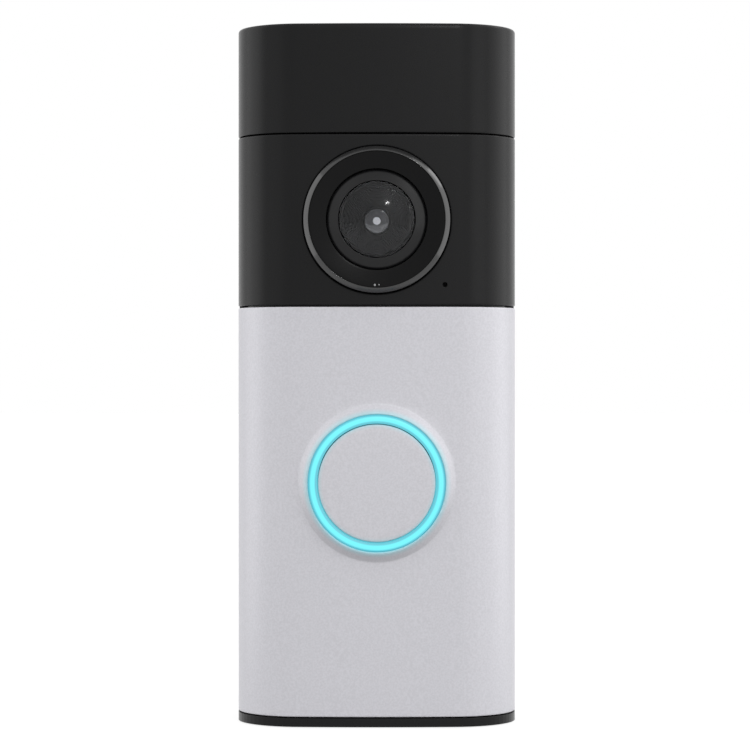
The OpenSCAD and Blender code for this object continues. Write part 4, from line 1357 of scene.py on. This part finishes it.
    def build_barrel(self) -> None:
        """Builds the barrel with its fine baffles."""
        back = depths("lens_barrel")[0]
        mouth = self.lens_radius - self.lens_wall
        top = self.head - self.gap
        flange = depths("lens_shroud")[1] - self.barrel_flange
        profile: list[Point] = [
            (self.bore, back), (self.barrel_outer, back), (self.barrel_outer, flange),
            (self.lens_radius, flange), (self.lens_radius, top), (mouth, top),
        ]
        step = (mouth - self.bore - self.bore_land) / self.baffles
        fall = self.barrel_fall / self.baffles
        run, drop = self.baffle_shape
        radius, depth = mouth, self.head - self.flange_depth
        for _ in range(self.baffles):
            profile += [(radius, depth), (radius - step * run, depth - fall * drop)]
            radius, depth = radius - step, depth - fall
        rim = depth + self.bore_rise
        profile += [(radius, depth), (radius, rim), (self.bore, rim)]
        self.turn("lens_barrel_steps", profile, BARREL, Slot.INNER, "lens_barrel", sharp=20.0)

    def build_iris(self) -> None:
        """Builds the inner lenses and the iris behind them."""
        back, front = depths("inner_elements")
        radius = self.bore - self.gap
        foot, end = front - self.inner_depth, back + self.rear_depth
        dome = quarter((0, front - self.inner_rise), (radius, self.inner_rise), 16)
        shape = Shape()
        shape.turned([(0, foot), (radius, foot)] + dome, CAMERA_Z, steps=96)
        shape.turned([(0, back), (radius, back), (radius, end), (0, end)], CAMERA_Z, steps=96)
        make_piece("inner_lenses", shape, INNER_GLASS, replaced="inner_elements")
        pupil = Shape()
        seat = front - self.iris_sink
        foot = seat - self.stub
        cap = quarter((0, seat), (self.iris_radius, self.iris_rise), 8)
        pupil.turned([(0, foot), (self.iris_radius, foot)] + cap, CAMERA_Z, steps=64)
        make_piece("iris_dome", pupil, PUPIL)


# ---------- Button ----------


@dataclass
class PushButton:
    """The lit ring and the silver cap of the push button."""

    ring_inner: float = 10.75
    ring_seat: float = 3.9
    ring_flange: float = 1.1
    ring_crown: float = 0.16
    cap_gap: float = 0.15
    cap_edge: float = 0.3
    dome: float = 0.12

    def build(self) -> None:
        """Builds the light ring and the cap."""
        back, front = depths("light_ring")
        flange = high("light_ring").x
        outer = flange - RING_FLANGE
        seat, shelf = back + self.ring_seat, back + self.ring_seat + self.ring_flange
        profile = [(self.ring_inner, back), (outer, back), (outer, seat), (flange, seat)]
        profile += [(flange, shelf), (outer, shelf)]
        for t in spread(0, 1, 12):
            crown = self.ring_crown * math.sin(math.pi * t) ** 0.6
            across = outer - (outer - self.ring_inner) * t
            profile.append((across, front - self.ring_crown + crown))
        shape = Shape()
        shape.turned(profile, BUTTON_Z, steps=192)
        make_piece("light_ring_pipe", shape, RING, replaced="light_ring")
        self.build_cap()

    def build_cap(self) -> None:
        """Builds the cap with its soft edge and faint dome."""
        back, front = depths("button_cap")
        radius = self.ring_inner - self.cap_gap
        edge = self.cap_edge
        reach = radius - edge
        face = quarter((reach, front - self.dome - edge), (edge, edge), 5)
        face += [(reach * (1 - t), front - self.dome * (1 - t) ** 2) for t in spread(0, 1, 8)[1:]]
        shape = Shape()
        shape.turned([(0, back), (radius, back)] + face, BUTTON_Z, steps=160)
        make_piece("silver_cap", shape, SILVER, Body.BUTTON, "button_cap")


# ---------- Carried-over nodes ----------


def dress_nodes() -> None:
    """Gives every CAD node that still shows its finish and smooth shading."""
    for finish, names in NODE_FINISHES.items():
        for name in names.split():
            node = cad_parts[name]
            soften(node.data, 28.0)
            material = finish.material()
            if not node.material_slots:
                node.data.materials.append(material)
            for holder in node.material_slots:
                holder.material = material
            log.info("%s: CAD node in %s", name, finish.name)


# ---------- Studio ----------


@dataclass(frozen=True)
class Softbox:
    """A rectangular studio lamp."""

    name: str
    place: Spot
    size: Point
    power: float
    target_z: float = 0.0

    def build(self) -> None:
        """Adds the lamp, aimed at the depth axis at its target height."""
        data = bpy.data.lights.new(self.name, "AREA")
        data.shape = "RECTANGLE"
        data.size, data.size_y = self.size
        data.energy = self.power
        lamp = add_object(self.name, data)
        lamp.location = self.place
        aim = Vector((0, 0, self.target_z)) - Vector(self.place)
        lamp.rotation_euler = aim.to_track_quat("-Z", "Y").to_euler()
        log.info("%s: %.3f W", self.name, self.power)


@dataclass
class Studio:
    """The camera, the lamps, the floor and the white surroundings."""

    distance: float = 0.526
    shift: float = -0.00032
    focal_length: float = 133.3
    ambient: float = 1.16
    floor_half: float = 4.0
    floor_gap: float = 0.0002
    floor_white: float = 0.82
    floor_greys: Point = (0.20, 0.22)
    lamps: tuple[Softbox, ...] = (
        Softbox("right_strip", (0.170, 0.012, 0.137), (0.09, 0.40), 0.105, 0.137),
        Softbox("left_strip", (-0.170, 0.012, 0.057), (0.09, 0.24), 0.052, 0.057),
        Softbox("right_side", (0.485, -0.121, 0.200), (0.12, 1.00), 0.270, 0.200),
        Softbox("left_side", (-0.492, -0.087, 0.200), (0.12, 1.00), 0.240, 0.200),
        Softbox("right_mid", (0.613, -0.514, 0.500), (0.40, 1.40), 1.400, 0.500),
        Softbox("left_mid", (-0.613, -0.514, 0.500), (0.40, 1.40), 0.420, 0.500),
        Softbox("front_right", (0.309, -0.951, 0.500), (0.45, 1.40), 0.520, 0.500),
        Softbox("front_top", (0.000, -1.039, 0.600), (0.60, 0.30), 0.200, 0.000),
        Softbox("lens_light", (0.198, -0.914, 0.383), (0.05, 0.05), 0.560, 0.028),
        Softbox("edge_key", (0.421, 0.082, 0.360), (0.10, 0.16), 0.110, 0.000),
        Softbox("right_key", (0.328, -0.174, 0.335), (0.06, 0.06), 0.040, 0.000),
    )

    def build(self) -> None:
        """Builds the studio."""
        self.build_camera()
        for lamp in self.lamps:
            lamp.build()
        self.build_floor()
        self.build_world()
        bpy.context.scene.view_settings.view_transform = "Standard"

    def build_camera(self) -> None:
        """Adds the camera, level and straight in front."""
        data = bpy.data.cameras.new("front_camera")
        data.lens = self.focal_length
        data.sensor_width = 36.0
        data.clip_start = 0.01
        camera = add_object("front_camera", data)
        camera.location = (self.shift, -self.distance, 0.0)
        camera.rotation_euler = Euler((QUARTER, 0, 0))
        bpy.context.scene.camera = camera

    def build_floor(self) -> None:
        """Adds the pale floor, which keeps the object's shadow."""
        half = self.floor_half
        height = CAD_BOUNDS[0].z - self.floor_gap
        mesh = bpy.data.meshes.new("studio_floor")
        corners = [(x * half, y * half, height) for x, y in ((-1, -1), (1, -1), (1, 1), (-1, 1))]
        mesh.from_pydata(corners, [], [(0, 1, 2, 3)])
        floor = add_object("studio_floor", mesh)
        material = bpy.data.materials.new("pale_floor")
        material.use_nodes = True
        graph = Graph(material.node_tree)
        greys = [(grey, grey, grey) for grey in self.floor_greys]
        colour = graph.blend(graph.noise(400.0), *greys)
        paint = graph.node("ShaderNodeBsdfDiffuse", {}, {"Color": colour})
        strength = graph.background_rays() * self.floor_white
        white = graph.node("ShaderNodeEmission", {}, {"Strength": strength})
        both = graph.node("ShaderNodeAddShader", {}, {0: paint.outputs[0], 1: white.outputs[0]})
        graph.node("ShaderNodeOutputMaterial", {}, {"Surface": both.outputs[0]})
        mesh.materials.append(material)

    def build_world(self) -> None:
        """Sets the surroundings: white where they are seen, mirrored or seen through."""
        world = bpy.data.worlds.new("white_studio")
        world.use_nodes = True
        bpy.context.scene.world = world
        graph = Graph(world.node_tree)
        strength = graph.background_rays() * (1 - self.ambient) + self.ambient
        back = graph.node("ShaderNodeBackground", {}, {"Color": (1, 1, 1, 1), "Strength": strength})
        graph.node("ShaderNodeOutputWorld", {}, {"Surface": back.outputs[0]})


# ---------- Assembly ----------


def main() -> None:
    """Builds the doorbell and its studio, and reports each piece."""
    logging.basicConfig(level=logging.INFO, format="%(name)s %(message)s")
    back, front = depths("top_cover")
    outline = FrontOutline(high("top_cover").x, front, back)
    dress_nodes()
    Housing(outline).build()
    Faceplate(outline).build()
    Camera().build()
    PushButton().build()
    Studio().build()


if __name__ == "__main__":
    main()
